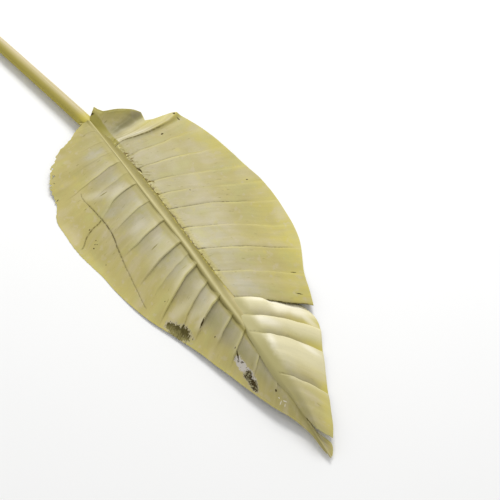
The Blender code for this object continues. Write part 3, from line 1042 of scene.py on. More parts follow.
        # Dark crease lines and the crack, with the painted shadow beside the tear.
        line = nodes.times(nodes.read("line"), nodes.spread(self.breaks.made(nodes), *self.line_gaps))
        colour = nodes.mix(line, colour, BLADE.line)
        colour, burnt = self.scars.over(nodes, colour)
        colour, dark = self.spots.over(nodes, colour, half, base)
        burnt = nodes.math("MAXIMUM", burnt, dark)
        rough = nodes.plus(nodes.spread(patches, *self.roughness), nodes.times(burnt, self.burnt_roughness))
        normal = nodes.bump(grain, self.grain_height, nodes.bump(streaks, self.vein_height))
        return nodes.finished(colour, rough, self.specular, normal)


def sheet_mesh(
    name: str, upper: Numbers, lower: Numbers, kept: Numbers, flip: bool
) -> tuple[bpy.types.Mesh, Numbers]:
    """A closed thin sheet from two grids of points.

    Args:
        name: the mesh's name.
        upper: points of the upper face, rows by columns by 3.
        lower: points of the lower face, laid out alike.
        kept: True for each cell of the grid that is there.
        flip: whether the cells turn the other way round.

    Returns:
        The mesh, and for each of its vertices its place in the flattened grid.
    """
    rows, columns = upper.shape[:2]
    count = rows * columns
    index = np.arange(count).reshape(rows, columns)
    corners = [index[:-1, :-1], index[1:, :-1], index[1:, 1:], index[:-1, 1:]]
    cells = np.stack(corners, axis=-1)[kept]
    padded = np.pad(kept, 1)
    neighbours = (padded[1:-1, :-2], padded[2:, 1:-1], padded[1:-1, 2:], padded[:-2, 1:-1])
    faces = [cells, cells[:, ::-1] + count]
    for k, beside in enumerate(neighbours):
        edge = kept & ~beside
        first, second = corners[k][edge], corners[(k + 1) % 4][edge]
        faces.append(np.stack([second, first, first + count, second + count], axis=-1))
    quads = np.concatenate(faces)
    if flip:
        quads = quads[:, ::-1]
    used, corner_of = np.unique(quads, return_inverse=True)
    points = np.concatenate([upper.reshape(-1, 3), lower.reshape(-1, 3)])[used]
    mesh = bpy.data.meshes.new(name)
    mesh.from_pydata(points.tolist(), [], corner_of.reshape(-1, 4).tolist())
    return mesh, used % count


def hold(mesh: bpy.types.Mesh, name: str, values: Numbers) -> None:
    """Keep one number for each vertex in the mesh, for its material to read."""
    made = mesh.attributes.new(name, "FLOAT", "POINT")
    made.data.foreach_set("value", values.astype(np.float32))


@dataclass(frozen=True)
class Patch:
    """A patch on the blade: its middle in the leaf frame, half length, half width and turn."""

    x: float
    y: float
    long: float
    wide: float
    turn: float = 0.0
    steepness: float = 1.5

    def at(self, x: Numbers, y: Numbers) -> Numbers:
        """How much of the patch there is at each place.

        Args:
            x: places along the leaf frame's X.
            y: places along the leaf frame's Y.

        Returns:
            1 in the middle of the patch, fading out at its edge.
        """
        turn = math.radians(self.turn)
        u = (x - self.x) * math.cos(turn) + (y - self.y) * math.sin(turn)
        v = (y - self.y) * math.cos(turn) - (x - self.x) * math.sin(turn)
        return np.exp(-((u / self.long) ** 2 + (v / self.wide) ** 2) ** self.steepness)


def patched(patches: Sequence[Patch], x: Numbers, y: Numbers) -> Numbers:
    """The strongest of the patches at each place."""
    return np.max([x * 0] + [patch.at(x, y) for patch in patches], axis=0)


@dataclass
class CreaseTable:
    """The creases of one half in rows of numbers, with both ends of the blade as faint creases."""

    creases: tuple[Crease, ...]
    blade_length: float
    end_reach: float = 0.3
    places: Numbers = field(init=False)
    steps: Numbers = field(init=False)
    inks: Numbers = field(init=False)
    reaches: Numbers = field(init=False)
    valley_shades: Numbers = field(init=False)

    def __post_init__(self) -> None:
        """Make the rows."""
        first, last = (Crease(place, 0.0, 0.0, self.end_reach) for place in (0.0, self.blade_length))
        all_creases = (first, *self.creases, last)
        self.places = np.array([crease.place for crease in all_creases])
        self.steps = np.array([crease.step for crease in all_creases])
        self.inks = np.array([crease.ink for crease in all_creases])
        self.reaches = np.array([crease.reach for crease in all_creases])
        self.valley_shades = np.array([crease.valley_shade for crease in all_creases])

    def phase(self, station: Numbers) -> tuple[Numbers, Numbers, Numbers]:
        """Where a vein lies between its two creases.

        Args:
            station: where the vein leaves the midrib.

        Returns:
            Place in the pleat from 0 to 1, and the numbers of the crease before and of the one after.
        """
        places = self.places
        i = np.clip(np.searchsorted(places, station, side="right") - 1, 0, len(places) - 2)
        return (station - places[i]) / (places[i + 1] - places[i]), i, i + 1


@dataclass(frozen=True)
class CreaseLook:
    """Dark lines along the creases, painted highlights on their lips, painted shade in the valleys, painted
    light on the crests.

    Places are stations along the midrib in metres, or shares of a vein. Widths are in metres.
    """

    line_fade: Stretch = (0.2, 0.05)
    line_root: Stretch = (0.0, 0.03)
    left_patches: Drift = Drift(62, 0.01, 0.09)
    left_patchy: Stretch = (0.75, 0.5)
    left_line_width: float = 0.0005
    # Left half: painted highlight on the lip before each crease, painted shade in the valley after it,
    # painted light on the crest.
    left_lip: Stretch = (0.0006, 0.0009)
    left_lip_floor: float = 0.2
    left_lip_share: float = 0.8
    left_shade_share: float = 0.68
    # Painted light on the crest before each crease.
    left_lit_floor: float = 0.10
    left_lit_share: float = 0.58
    deep: Stretch = (0.195, 0.215)
    fade_start: Stretch = (0.30, 0.12)
    fade_end: Stretch = (0.66, 0.04)
    far: Stretch = (0.236, 0.262)
    breadth: tuple[float, float, float] = (0.35, 0.40, 0.35)
    crest_start: Stretch = (0.40, 0.40)
    crest_end: float = 0.97
    hem_share: float = 0.35
    hem_end: Stretch = (0.03, 0.11)
    hem_far: Stretch = (0.19, 0.22)
    right_patches: Drift = Drift(63, 0.01, 0.09)
    right_patchy: Stretch = (0.8, 0.4)
    start_ink: float = 1.4
    start_end: Stretch = (0.12, 0.19)
    start_width: Stretch = (0.0006, 0.0003)
    start_narrows: Stretch = (0.12, 0.20)
    right_line_place: Stretch = (0.0003, 0.65)
    right_line_root: Stretch = (0.0, 0.01)
    right_ink: float = 0.85
    lobe_ink_loss: float = 0.35
    # Right half: painted highlight on the lip after each crease, painted shade before the next one, painted
    # light on the lobe's pillows.
    right_lip: Stretch = (0.0008, 0.0010)
    right_lip_share: Stretch = (0.5, 0.32)
    right_lip_fade: Stretch = (0.5, 1.0)
    right_shade_start: float = 0.66
    right_shade_share: Stretch = (0.4, 0.3)
    lobe: Stretch = (0.256, 0.258)
    lobe_root: Stretch = (0.06, 0.16)
    lobe_end: Stretch = (0.338, 0.350)
    lobe_end_loss: float = 0.9
    # Painted light on the lit side of the lobe's pillows.
    lobe_crest: Stretch = (0.30, 0.95)
    lobe_lit_cream: float = 0.90

    def kept(self, table: CreaseTable, crease: Numbers, shares: Numbers) -> Numbers:
        """How much of a crease's line is left this far along its vein."""
        reach = table.reaches[crease]
        return 1.0 - ease(reach - self.line_fade[0], reach + self.line_fade[1], shares)

    def left(self, table: CreaseTable, column: Numbers, shares: Numbers) -> dict[str, Numbers]:
        """Dark lines and painted light and shade beside the creases of the left half.

        Args:
            table: the half's creases.
            column: where each point's vein starts.
            shares: how far out along it.

        Returns:
            Grids of numbers by name.
        """
        phase, before, after = table.phase(column)
        past, ahead = column - table.places[before], table.places[after] - column
        valley_shade, coming_shade = table.valley_shades[before], table.valley_shades[after]
        root = ease(*self.line_root, shares)
        deep, far = ease(*self.deep, column), ease(*self.far, column)
        fade_start = self.fade_start[0] + self.fade_start[1] * deep
        fade = 1.0 - ease(fade_start, self.fade_end[0] + self.fade_end[1] * deep, shares)
        breadth = self.breadth[0] + self.breadth[1] * valley_shade + self.breadth[2] * far
        patchy = self.left_patchy[0] + self.left_patchy[1] * self.left_patches.at(column, shares)
        clear = np.maximum(ease(*self.hem_end, shares), ease(*self.hem_far, column))
        over_hem = self.hem_share + (1.0 - self.hem_share) * clear
        line = table.inks[before] * np.exp(-past / self.left_line_width)
        line = line * self.kept(table, before, shares) * root * patchy * over_hem
        # Painted highlight on the lip, painted shade in the valley and painted light on the crest.
        lip = (self.left_lip_floor + (1.0 - self.left_lip_floor) * coming_shade) * bell(ahead, *self.left_lip)
        shade = valley_shade * np.exp(-((phase / breadth) ** 2)) * fade * root
        crest = ease(self.crest_start[0] + self.crest_start[1] * far, self.crest_end, phase)
        cream = (self.left_lit_floor + (1.0 - self.left_lit_floor) * coming_shade) * crest * fade * root
        return {
            "line": line,
            "lip": lip * self.kept(table, after, shares) * root * self.left_lip_share,
            "shade": shade * self.left_shade_share,
            "cream": cream * self.left_lit_share,
        }

    def right(self, table: CreaseTable, column: Numbers, shares: Numbers) -> dict[str, Numbers]:
        """Dark lines and painted light and shade beside the creases of the right half and of the narrow
        strip.

        Args:
            table: the half's creases.
            column: where each point's vein starts.
            shares: how far out along it.

        Returns:
            Grids of numbers by name.
        """
        phase, before, after = table.phase(column)
        past, ahead = column - table.places[before], table.places[after] - column
        root, kept = ease(*self.line_root, shares), self.kept(table, after, shares)
        lobe = ease(*self.lobe, column)
        start = self.start_ink * (1.0 - ease(*self.start_end, shares))
        thick = self.start_width[0] + self.start_width[1] * (1.0 - ease(*self.start_narrows, shares))
        seen = self.right_line_place[0] + self.right_line_place[1] * table.steps[after]
        patchy = self.right_patchy[0] + self.right_patchy[1] * self.right_patches.at(column, shares)
        dark = np.maximum(start, (self.right_ink - self.lobe_ink_loss * lobe) * kept * patchy)
        lip_share = self.right_lip_share[0] - self.right_lip_share[1] * ease(*self.right_lip_fade, shares)
        shade = table.valley_shades[after] * ease(self.right_shade_start, 1.0, phase) * kept * root
        on_lobe = lobe * ease(*self.lobe_root, shares)
        on_lobe = on_lobe * (1.0 - self.lobe_end_loss * ease(*self.lobe_end, column))
        line = table.inks[after] * bell(ahead, seen, thick) * dark
        # Painted highlight on the lip after each crease, painted shade before the next one, painted light on
        # the lit side of the lobe's pillows.
        return {
            "line": line * ease(*self.right_line_root, shares),
            "lip": table.inks[before] * bell(past, *self.right_lip) * lip_share * root,
            "shade": shade * (self.right_shade_share[0] + self.right_shade_share[1] * lobe),
            "cream": on_lobe * (1.0 - ease(*self.lobe_crest, phase)) * self.lobe_lit_cream,
        }


@dataclass(frozen=True)
class BaseFold:
    """The fold beside the base of the right half: a fan of fine ridges, its crest and an upturned lip, with
    painted light and shade on them.
    """

    ridge_start: float = 0.034
    ridge_gap: float = 0.0027
    ridge_height: float = 0.00030
    ridge_from: Stretch = (0.034, 0.038)
    ridge_to: Stretch = (0.0470, 0.0478)
    ridge_root: Stretch = (0.05, 0.2)
    ridge_end: Stretch = (0.6, 0.95)
    lip_height: float = 0.0014
    lip_width: float = 0.0016
    lip_to: Stretch = (0.020, 0.030)
    fan_from: Stretch = (0.036, 0.044)
    fan_to: Stretch = (0.0476, 0.0480)
    fan_end: Stretch = (0.40, 0.75)
    fan_loss: float = 0.6
    # Painted light on the fan's ridges and painted shade between them.
    fan_tone: Stretch = (0.66, 0.34)
    fan_shade: float = 0.75
    crest_end: Stretch = (0.62, 0.80)
    crest_root: Stretch = (0.02, 0.06)
    crest_line: Stretch = (0.0490, 0.0005)
    crest_shade: Stretch = (0.0505, 0.0024)
    crest_shade_share: float = 0.25
    # Painted shade in the hollow, painted light on the slope beyond it, and a painted highlight along the
    # crest.
    hollow_shade: Stretch = (0.0315, 0.0042)
    hollow_shade_root: Stretch = (0.10, 0.40)
    hollow_shade_share: float = 0.75
    slope: Stretch = (0.0375, 0.0030)
    slope_light_root: Stretch = (0.30, 0.60)
    slope_light_share: float = 0.6
    crest_highlight: Stretch = (0.0452, 0.0024)
    crest_highlight_root: Stretch = (0.03, 0.10)
    crest_highlight_end: Stretch = (0.40, 0.70)
    crest_highlight_share: float = 0.42
    # Painted highlight along the upturned lip of the margin.
    hem_to: Stretch = (0.022, 0.032)
    hem_width: Stretch = (0.0010, 0.0028)
    hem_share: float = 0.95

    def wave(self, station: Numbers) -> Numbers:
        """The fan's ridges as a wave from -1 to 1."""
        return np.sin(2 * np.pi * (station - self.ridge_start) / self.ridge_gap)

    def relief(self, station: Numbers, share: Numbers, edge: Numbers) -> Numbers:
        """Height of the ridges and of the lip.

        Args:
            station: where each point's vein starts.
            share: how far out along it.
            edge: distance of each point from the margin.

        Returns:
            The heights.
        """
        zone = ease(*self.ridge_from, station) * (1.0 - ease(*self.ridge_to, station))
        ridges = self.ridge_height * self.wave(station)
        lip = self.lip_height * np.exp(-edge / self.lip_width) * (1.0 - ease(*self.lip_to, station))
        return zone * ridges * ease(*self.ridge_root, share) * (1.0 - ease(*self.ridge_end, share)) + lip

    def colours(self, station: Numbers, share: Numbers, edge: Numbers) -> dict[str, Numbers]:
        """How strongly each point has the fold's dark line, painted shade, painted light and painted
        highlights.

        Args:
            station: where each point's vein starts.
            share: how far out along it.
            edge: distance of each point from the margin.

        Returns:
            Grids of numbers by name.
        """
        crest = ease(*self.crest_root, share) * (1.0 - ease(*self.crest_end, share))
        zone = ease(*self.fan_from, station) * (1.0 - ease(*self.fan_to, station))
        zone = zone * (1.0 - self.fan_loss * ease(*self.fan_end, share))
        fan = self.fan_tone[0] + self.fan_tone[1] * self.wave(station)
        crest_highlight = bell(station, *self.crest_highlight) * ease(*self.crest_highlight_root, share)
        hem = (1.0 - ease(*self.hem_to, station)) * (1.0 - ease(*self.hem_width, edge))
        slope = bell(station, *self.slope) * ease(*self.slope_light_root, share)
        # Painted shade in the hollow and between the ridges, painted light on the ridges and the slope,
        # painted highlights on the crest and the lip.
        return {
            "line": bell(station, *self.crest_line) * crest,
            "lip": hem * self.hem_share,
            "shade": np.max([
                bell(station, *self.hollow_shade) * ease(*self.hollow_shade_root, share) * self.hollow_shade_share,
                bell(station, *self.crest_shade) * crest * self.crest_shade_share,
                zone * (1.0 - fan) * self.fan_shade,
            ], axis=0),
            "cream": np.maximum(zone * fan, self.slope_light_share * slope),
            "white": crest_highlight * (1.0 - ease(*self.crest_highlight_end, share)) * self.crest_highlight_share,
        }


@dataclass(frozen=True)
class Tear:
    """The tear in the right half: one edge lifts and is drawn back, the other tucks under it."""

    station: float = 0.257
    start: float = 0.42
    full: float = 0.54
    parting: float = 0.12
    lifting: float = 0.35
    slide_delay: float = 0.05
    slide_end: float = 0.08
    tuck_length: float = 0.0062
    tuck_reach: float = 0.010
    tuck_drop: float = 0.0042
    edge_drop: float = 0.0006
    edge_from: float = 0.6
    lift_height: float = 0.0014
    lift_reach: float = 0.014
    drawn_back: float = 0.0055
    drawn_from: float = 0.65
    corner_pull: float = 0.13
    corner_reach: float = 0.006
    seen: Stretch = (0.43, 0.47)
    brink_width: float = 0.0008
    brink_ink: float = 1.2
    tuck_hidden: float = 0.68
    drawn_hidden: float = 0.62
    shadow_ink: float = 0.8
    shadow_width: Stretch = (0.0007, 0.0009)
    shadow_grows: Stretch = (0.7, 1.0)
    shadow_core: float = 0.7
    gleam_share: float = 0.75
    gleam: Stretch = (0.0022, 0.0026)
    gleam_end: Stretch = (0.86, 0.97)

    def corner(self, station: Numbers) -> Numbers:
        """Share of each vein that the lobe's round corner keeps."""
        past = station - self.station
        return 1.0 - self.corner_pull * np.exp(-np.abs(past) / self.corner_reach) * (past > 0)

    def slid(self, share: Numbers) -> Numbers:
        """How far the tucked edge has slid under, from 0 to 1."""
        return ease(self.start + self.slide_delay, self.full + self.slide_end, share)

    def moved(self, station: Numbers, share: Numbers) -> tuple[Numbers, Numbers]:
        """Find how the blade moves beside the tear.

        Args:
            station: where each point's vein starts.
            share: how far out along it.

        Returns:
            The shift along the blade and the change of height.
        """
        past = station - self.station
        parted = ease(self.start, self.start + self.parting, share)
        lifted = ease(self.start, self.start + self.lifting, share)
        tuck = np.exp(-np.abs(past) / self.tuck_reach) * (past > 0)
        sunk = bell(past, 0.0, self.tuck_reach) * (past > 0)
        near = np.exp(-np.abs(past) / self.lift_reach) * (past < 0)
        drawn = self.drawn_back * ease(self.drawn_from, 1.0, share) * near
        fall = self.tuck_drop + self.edge_drop * ease(self.edge_from, 1.0, share)
        height = self.lift_height * lifted * near - fall * parted * sunk
        return -self.tuck_length * self.slid(share) * tuck - drawn, height

    def colours(self, station: Numbers, share: Numbers) -> dict[str, Numbers]:
        """How strongly each point has the tear's dark torn brink, the painted shadow of the lifted edge on
        the lobe, and a painted highlight (the gleam) beside that shadow.

        Args:
            station: where each point's vein starts.
            share: how far out along it.

        Returns:
            Grids of numbers by name.
        """
        past = station - self.station
        torn = ease(*self.seen, share)
        brink = torn * (past < 0) * np.exp(past / self.brink_width)
        drawn = ease(self.drawn_from, 1.0, share)
        hidden = self.tuck_hidden * self.tuck_length * self.slid(share)
        hidden = hidden - self.drawn_hidden * self.drawn_back * drawn
        width = self.shadow_width[0] + self.shadow_width[1] * ease(*self.shadow_grows, share)
        shadow = torn * (past > 0) * (1.0 - ease(0.0, self.shadow_core * width, past - hidden))
        gleam = torn * (past > 0) * bell(past, hidden + self.gleam[0], self.gleam[1])
        return {
            "line": np.maximum(self.brink_ink * brink, self.shadow_ink * shadow),
            "white": self.gleam_share * gleam * (1.0 - ease(*self.gleam_end, share)),
        }


@dataclass(frozen=True)
class Crack:
    """The branched crack on the left half: its share of the vein at each station, its ink, its groove."""

    path: Knots
    ink: Knots
    depth: float = 0.0004
    groove: float = 0.0005
    line: float = 0.0007
    near: float = 0.0035
    beside: float = 0.012
    rows: tuple[float, ...] = (0.0, 0.57, 0.595, 0.62, 0.645, 0.67, 1.0)
    branch: Stretch = (0.1030, 0.0007)
    branch_start: Stretch = (0.556, 0.566)
    branch_end: Stretch = (0.90, 0.97)
    beyond: float = 1.0

    def distance(self, station: Numbers, share: Numbers, length: Numbers) -> Numbers:
        """Signed distance along a vein from the crack.

        Args:
            station: where each point's vein starts.
            share: how far out along it.
            length: length of its vein.

        Returns:
            The distances, far away beyond the crack's ends.
        """
        ends = (station < self.path[0][0]) | (station > self.path[-1][0])
        return (share - through(self.path, station)) * length + ends * self.beyond

    def relief(self, station: Numbers, share: Numbers, length: Numbers) -> Numbers:
        """Depth of the groove at each point."""
        return self.depth * bell(self.distance(station, share, length), 0.0, self.groove)

    def inked(self, station: Numbers, share: Numbers, length: Numbers) -> Numbers:
        """How dark the crack and its branch make each point.

        Args:
            station: where each point's vein starts.
            share: how far out along it.
            length: length of its vein.

        Returns:
            The ink.
        """
        drawn = bell(self.distance(station, share, length), 0.0, self.line) * straight(self.ink, station)
        branch = bell(station, *self.branch) * ease(*self.branch_start, share)
        return np.maximum(drawn, branch * (1 - ease(*self.branch_end, share)))

    def closer(self, station: Numbers, even: Numbers) -> Numbers:
        """Shares of each vein for rows of points that lie closer beside the crack.

        Args:
            station: where each vein leaves the midrib.
            even: evenly spaced shares.

        Returns:
            Shares, veins by rows.
        """
        middle = through(self.path, station)[:, None]
        rows = np.interp(even, self.rows, np.arange(float(len(self.rows))))
        near, beside = self.near, self.beside
        steps = (0.0, middle - beside, middle - near, middle, middle + near, middle + beside, 1.0)
        table = np.concatenate([middle * 0 + step for step in steps], axis=1)
        low = np.clip(np.floor(rows).astype(int), 0, len(steps) - 2)
        part = (rows - low)[None, :]
        return table[:, low] * (1 - part) + table[:, low + 1] * part


@dataclass(frozen=True)
class Margin:
    """How worn the margin is: long waves, fine nicks, and on the left bites and small holes."""

    waves: Drift = Drift(23, 0.014, 1.0)
    wave_height: float = 0.0004
    nicks: Drift = Drift(22, 0.0011, 1.0)
    nick_height: float = 0.0004
    nick_end: Stretch = (0.13, 0.16)
    bites: Drift = Drift(21, 0.0040, 1.0)
    bite_level: float = 0.2
    bite_share: float = 1.6
    torn_nicks: float = 0.7
    torn_depth: float = 0.0016
    torn_end: Stretch = (0.051, 0.085)
    least_length: float = 0.01
    holes: Drift = Drift(91, 0.0021, 0.0018)
    hole_level: float = 0.74
    hole_spread: float = 0.07
    hole_stations: Stretch = (0.026, 0.066)
    hole_shares: Stretch = (0.90, 0.985)

    def change(self, station: Numbers, whole: Numbers, half: Half) -> Numbers:
        """Change of the share of each vein that the margin keeps.

        Args:
            station: where each vein leaves the midrib.
            whole: length of the vein to the outline.
            half: which half it is for.

        Returns:
            The changes.
        """
        change = self.wave_height * self.waves.at(station, station * 0)
        if half is Half.LEFT:
            fine = self.nicks.at(station, station * 0)
            bites = np.minimum(self.bites.at(station, station * 0) + self.bite_level, 0.0)
            torn = 1.0 - ease(*self.torn_end, station)
            nicked = 1.0 - ease(*self.nick_end, station)
            worn = self.bite_share * bites + self.torn_nicks * fine
            change = change + self.torn_depth * torn * worn + self.nick_height * nicked * fine
        return change / np.maximum(whole, self.least_length) * ease(0.0, self.least_length, whole)

    def pierced(self, station: Numbers, share: Numbers) -> Numbers:
        """Find the small holes beside the torn margin.

        Args:
            station: where each cell's vein starts.
            share: how far out along it.

        Returns:
            True for each cell that is a hole.
        """
        holes = self.holes.at(station, share * self.hole_spread) > self.hole_level
        beside = (station > self.hole_stations[0]) & (station < self.hole_stations[1])
        return holes & beside & (share > self.hole_shares[0]) & (share < self.hole_shares[1])


@dataclass(frozen=True)
class Relief:
    """Fine forms of the sheet: how creases stray, how the sheet swells and rumples, how it meets the floor.

    A seed goes up or down by one with the half's sign.
    """

    stray_seeds: tuple[int, int] = (80, 83)
    stray_heights: Stretch = (0.0009, 0.0005)
    stray_cells: tuple[Stretch, Stretch] = ((0.016, 0.22), (0.011, 0.09))
    stray_root: Stretch = (0.0, 0.2)
    stray_end: Stretch = (0.75, 1.0)
    stray_from: float = 0.01
    still_beside_tear: Stretch = (0.002, 0.03)
    swell_seeds: tuple[int, int, int] = (40, 45, 49)
    swell_cells: tuple[Stretch, Stretch, Stretch] = ((0.022, 0.030), (0.009, 0.016), (0.0035, 0.018))
    swell_height: float = 0.0006
    small_swell: float = 0.4
    rumple_height: float = 0.00012
    body_root: Stretch = (0.05, 0.25)
    body_length: Stretch = (0.0, 0.012)
    vein_height: float = 0.00005
    vein_end: Stretch = (0.6, 1.0)
    vein_loss: float = 0.6
    scab_skin: Drift = Drift(55, 0.0014, 0.0026)
    scab_height: float = 0.0005
    inner_droop: float = 0.0022
    floor_softness: float = 0.0012
    floor_sink: float = 0.35

    def stray(self, station: Numbers, shares: Numbers, sign: int) -> Numbers:
        """How far the creases stray along the blade, before they are held still at both ends.

        Args:
            station: where each point's vein starts.
            shares: how far out along it.
            sign: -1 on the left, 1 on the right.

        Returns:
            The shifts.
        """
        broad, fine = (
            height * Drift(seed + sign, *cells).at(station, shares)
            for seed, height, cells in zip(self.stray_seeds, self.stray_heights, self.stray_cells)
        )
        return broad + fine

    def swells(self, station: Numbers, span: Numbers, sign: int) -> Numbers:
        """Height of the swells and the rumples.

        Args:
            station: where each point's vein leaves the midrib.
            span: distance of each point along its vein.
            sign: -1 on the left, 1 on the right.

        Returns:
            The heights.
        """
        broad, small, rumple = (
            Drift(seed + sign, *cells).at(station, span)
            for seed, cells in zip(self.swell_seeds, self.swell_cells)
        )
        return self.swell_height * (broad + self.small_swell * small) + self.rumple_height * rumple

    def above_floor(self, height: Numbers, rest: float) -> Numbers:
        """Height that eases into lying flat on the floor.

        Args:
            height: height of the sheet's middle.
            rest: its height where it lies flat.

        Returns:
            The eased height.
        """
        above, soft = height - rest, self.floor_softness
        return rest + (above + np.sqrt(above**2 + soft**2) - soft * self.floor_sink) / 2


@dataclass(frozen=True)
class HalfLook:
    """Where one half has its colours, along the midrib or in patches."""

    tone: Knots = LEVEL_ONE
    bloom_and_sheen: Knots = LEVEL_ONE
    hem: Knots = LEVEL_ZERO
    hem_reach: Knots = ((0.0, 6.5), (0.42, 6.5))
    # Painted shade in the crevice beside the midrib, along the blade.
    olive_and_crevice_shade: Knots = LEVEL_ZERO
    crackle: Knots = LEVEL_ZERO
    scabs: tuple[Patch, ...] = ()
    moulds: tuple[Patch, ...] = ()
    greys: tuple[Patch, ...] = ()
    # Patches of painted highlight, and how strong they are.
    highlight_patches: tuple[Patch, ...] = ()
    highlight_strength: float = 0.58
    bloom_end: Stretch = (0.30, 0.62)
    bloom_root: float = 0.12
    bloom_floor: float = 0.75
    bloom_drift: Drift = Drift(61, 0.02, 0.03)
    bare_end: Stretch = (0.085, 0.115)
    bare_root: tuple[float, float, float] = (0.10, 0.04, 0.16)
    outer_tone: float = 0.08
    outer: Stretch = (0.42, 0.70)
    inner_tone: float = 0.04
    inner: Stretch = (0.08, 0.20)
    grey_bloom: float = 0.95
    grey_tone: float = 0.07
    grey_tone_end: float = 0.1
    rim: Stretch = (0.4, 0.28)
    rim_fades: Stretch = (0.23, 0.30)
    rim_width: Stretch = (0.0005, 0.0016)
    tear_edge: float = 0.0004
    beyond_most: float = 20.0


@dataclass
class BladeHalf:
    """One half of the blade as a thin sheet, with its pleats, veins, scars and torn edges."""

    plan: HalfPlan
    sizes: LeafSizes
    place: LeafPlace
    rib_width: Knots
    look: HalfLook = HalfLook()
    crack: Crack | None = None
    tear: Tear = Tear()
    fold: BaseFold = BaseFold()
    margin: Margin = Margin()
    relief: Relief = Relief()
    crease_look: CreaseLook = CreaseLook()
    rows_across: int = 84
    row_power: float = 1.1
    vein_gap: float = 0.0042
    samples_a_vein: int = 4
    crease_offsets: tuple[float, ...] = (0.00006, 0.00030, 0.00065, 0.0011, 0.0016, 0.0022)
    length_samples: int = 841
    least_bend: float = 0.01
    shortest_vein: float = 0.004
    sheet_thickness: float = 0.0006
    margin_thickness: float = 0.00026
    thinning_reach: float = 0.0022
    sharp_angle: float = 50.0
    table: CreaseTable = field(init=False)
    made: bpy.types.Object | None = field(default=None, init=False)

    def __post_init__(self) -> None:
        """Lay the creases out as rows of numbers."""
        self.table = CreaseTable(self.plan.creases, self.sizes.blade_length)

    def stations(self) -> Numbers:
        """Find where the veins that carry points leave the midrib.

        Returns:
            Places along the midrib, close together beside each crease.
        """
        places = [crease.place for crease in self.plan.creases]
        ends = [self.plan.first_vein, *places, self.plan.last_vein]
        runs = []
        for low, high in zip(ends, ends[1:]):
            offsets = np.array([offset for offset in self.crease_offsets if offset < (high - low) / 4])
            inner_low, inner_high = low + offsets[-1], high - offsets[-1]
            veins = max(1, round((inner_high - inner_low) / self.vein_gap))
            inner = np.linspace(inner_low, inner_high, veins * self.samples_a_vein + 1)[1:-1]
            runs.append(np.concatenate([low + offsets, inner, high - offsets[::-1]]))
        return np.concatenate(runs)

    def vein_plan(self, station: Numbers, distance: Numbers) -> tuple[Numbers, Numbers]:
        """Follow a side vein, seen from above.

        Args:
            station: where the vein leaves the midrib.
            distance: how far out along the vein.

        Returns:
            The place along the blade and the place away from the midrib.
        """
        angle = np.radians(through(self.plan.vein_angle, station))
        bend = through(self.plan.vein_bend, station)
        bend = np.where(np.abs(bend) < self.least_bend, self.least_bend, bend)
        along = station + (np.sin(angle) - np.sin(angle - bend * distance)) / bend
        away = (np.cos(angle - bend * distance) - np.cos(angle)) / bend
        return along, away

    def vein_length(self, station: Numbers) -> Numbers:
        """Measure the side veins from the midrib to the outline, by halving.

        Args:
            station: where each vein leaves the midrib.

        Returns:
            The lengths.
        """
        low = np.zeros_like(station)
        high = np.full_like(station, self.sizes.longest_vein)
        for _ in range(self.sizes.halvings):
            middle = (low + high) / 2
            along, away = self.vein_plan(station, middle)
            inside = away < through(self.plan.margin, along)
            low, high = np.where(inside, middle, low), np.where(inside, high, middle)
        return low

    def kept_share(self, station: Numbers, whole: Numbers) -> Numbers:
        """Find how much of each vein the trimmed, torn and ragged margin leaves.

        Args:
            station: where each vein leaves the midrib.
            whole: its length to the outline.

        Returns:
            The shares.
        """
        share = 1.0 - straight(self.plan.trim, station)
        if self.plan.half is Half.RIGHT:
            share = share * self.tear.corner(station)
        return share + self.margin.change(station, whole, self.plan.half)

    def route(self, station: Numbers, shares: Numbers) -> Numbers:
        """Find the vein whose course each point follows, as creases stray a little on their way.

        Args:
            station: where each point's vein starts.
            shares: how far out along it.

        Returns:
            The station of the vein that is followed.
        """
        relief = self.relief
        body = ease(*relief.stray_root, shares) * (1.0 - ease(*relief.stray_end, shares))
        body = body * (station > relief.stray_from)
        if self.plan.half is Half.RIGHT:
            body = body * ease(*relief.still_beside_tear, np.abs(station - self.tear.station))
        moved = station + body * relief.stray(station, shares, self.plan.sign)
        for wander in self.plan.wanders:
            moved = moved + through(wander.shift, shares) * bell(station, wander.place, wander.width)
        return moved

    def pleat_at(self, station: Numbers, share: Numbers) -> Numbers:
        """Height of the pleats, with sharp steps.

        Args:
            station: where each point's vein starts.
            share: how far out along it.

        Returns:
            The heights: a valley and a step up to each crease, and pillows on the torn lobe.
        """
        plan, shape = self.plan, self.sizes.pleats
        heights = self.table.steps
        phase, before, after = self.table.phase(station)
        root = ease(0.0, shape.root, share)
        if plan.half is Half.LEFT:
            depth = straight(shape.valleys, station)
            valley = depth * np.sin(np.pi * np.minimum(phase / shape.valley_end, 1.0))
            reach = np.minimum(self.table.reaches, shape.longest_reach)[after]
            fade = 1.0 - ease(reach - shape.reach_fade[0], reach + shape.reach_fade[1], share)
            return heights[after] * (phase**shape.left_power - valley) * fade * root
        lobe = (station > self.tear.station) & (plan.half is Half.RIGHT)
        root = np.where(lobe, ease(*shape.lobe_root, share), root)
        pillow = shape.pillow_height * np.sin(np.pi * phase**shape.pillow_power) * lobe
        height = heights[before] * (1.0 - phase) ** shape.right_power + pillow
        fade = 1.0 - plan.pleat_loss * ease(*plan.pleat_fade, share)
        return height * np.where(lobe, 1.0 - ease(*shape.lobe_fade, share), fade) * root

    def pleats(self, station: Numbers, share: Numbers) -> Numbers:
        """Height of the pleats with each step a little rounded.

        Args:
            station: where each point's vein starts.
            share: how far out along it.

        Returns:
            The heights.
        """
        shape = self.sizes.pleats
        offsets = np.linspace(-shape.round_reach, shape.round_reach, shape.round_samples)
        weights = np.exp(-(offsets**2))
        total = sum(
            weight * self.pleat_at(np.maximum(station + offset * shape.step_softness, 0.0), share)
            for offset, weight in zip(offsets, weights)
        )
        return total / weights.sum()

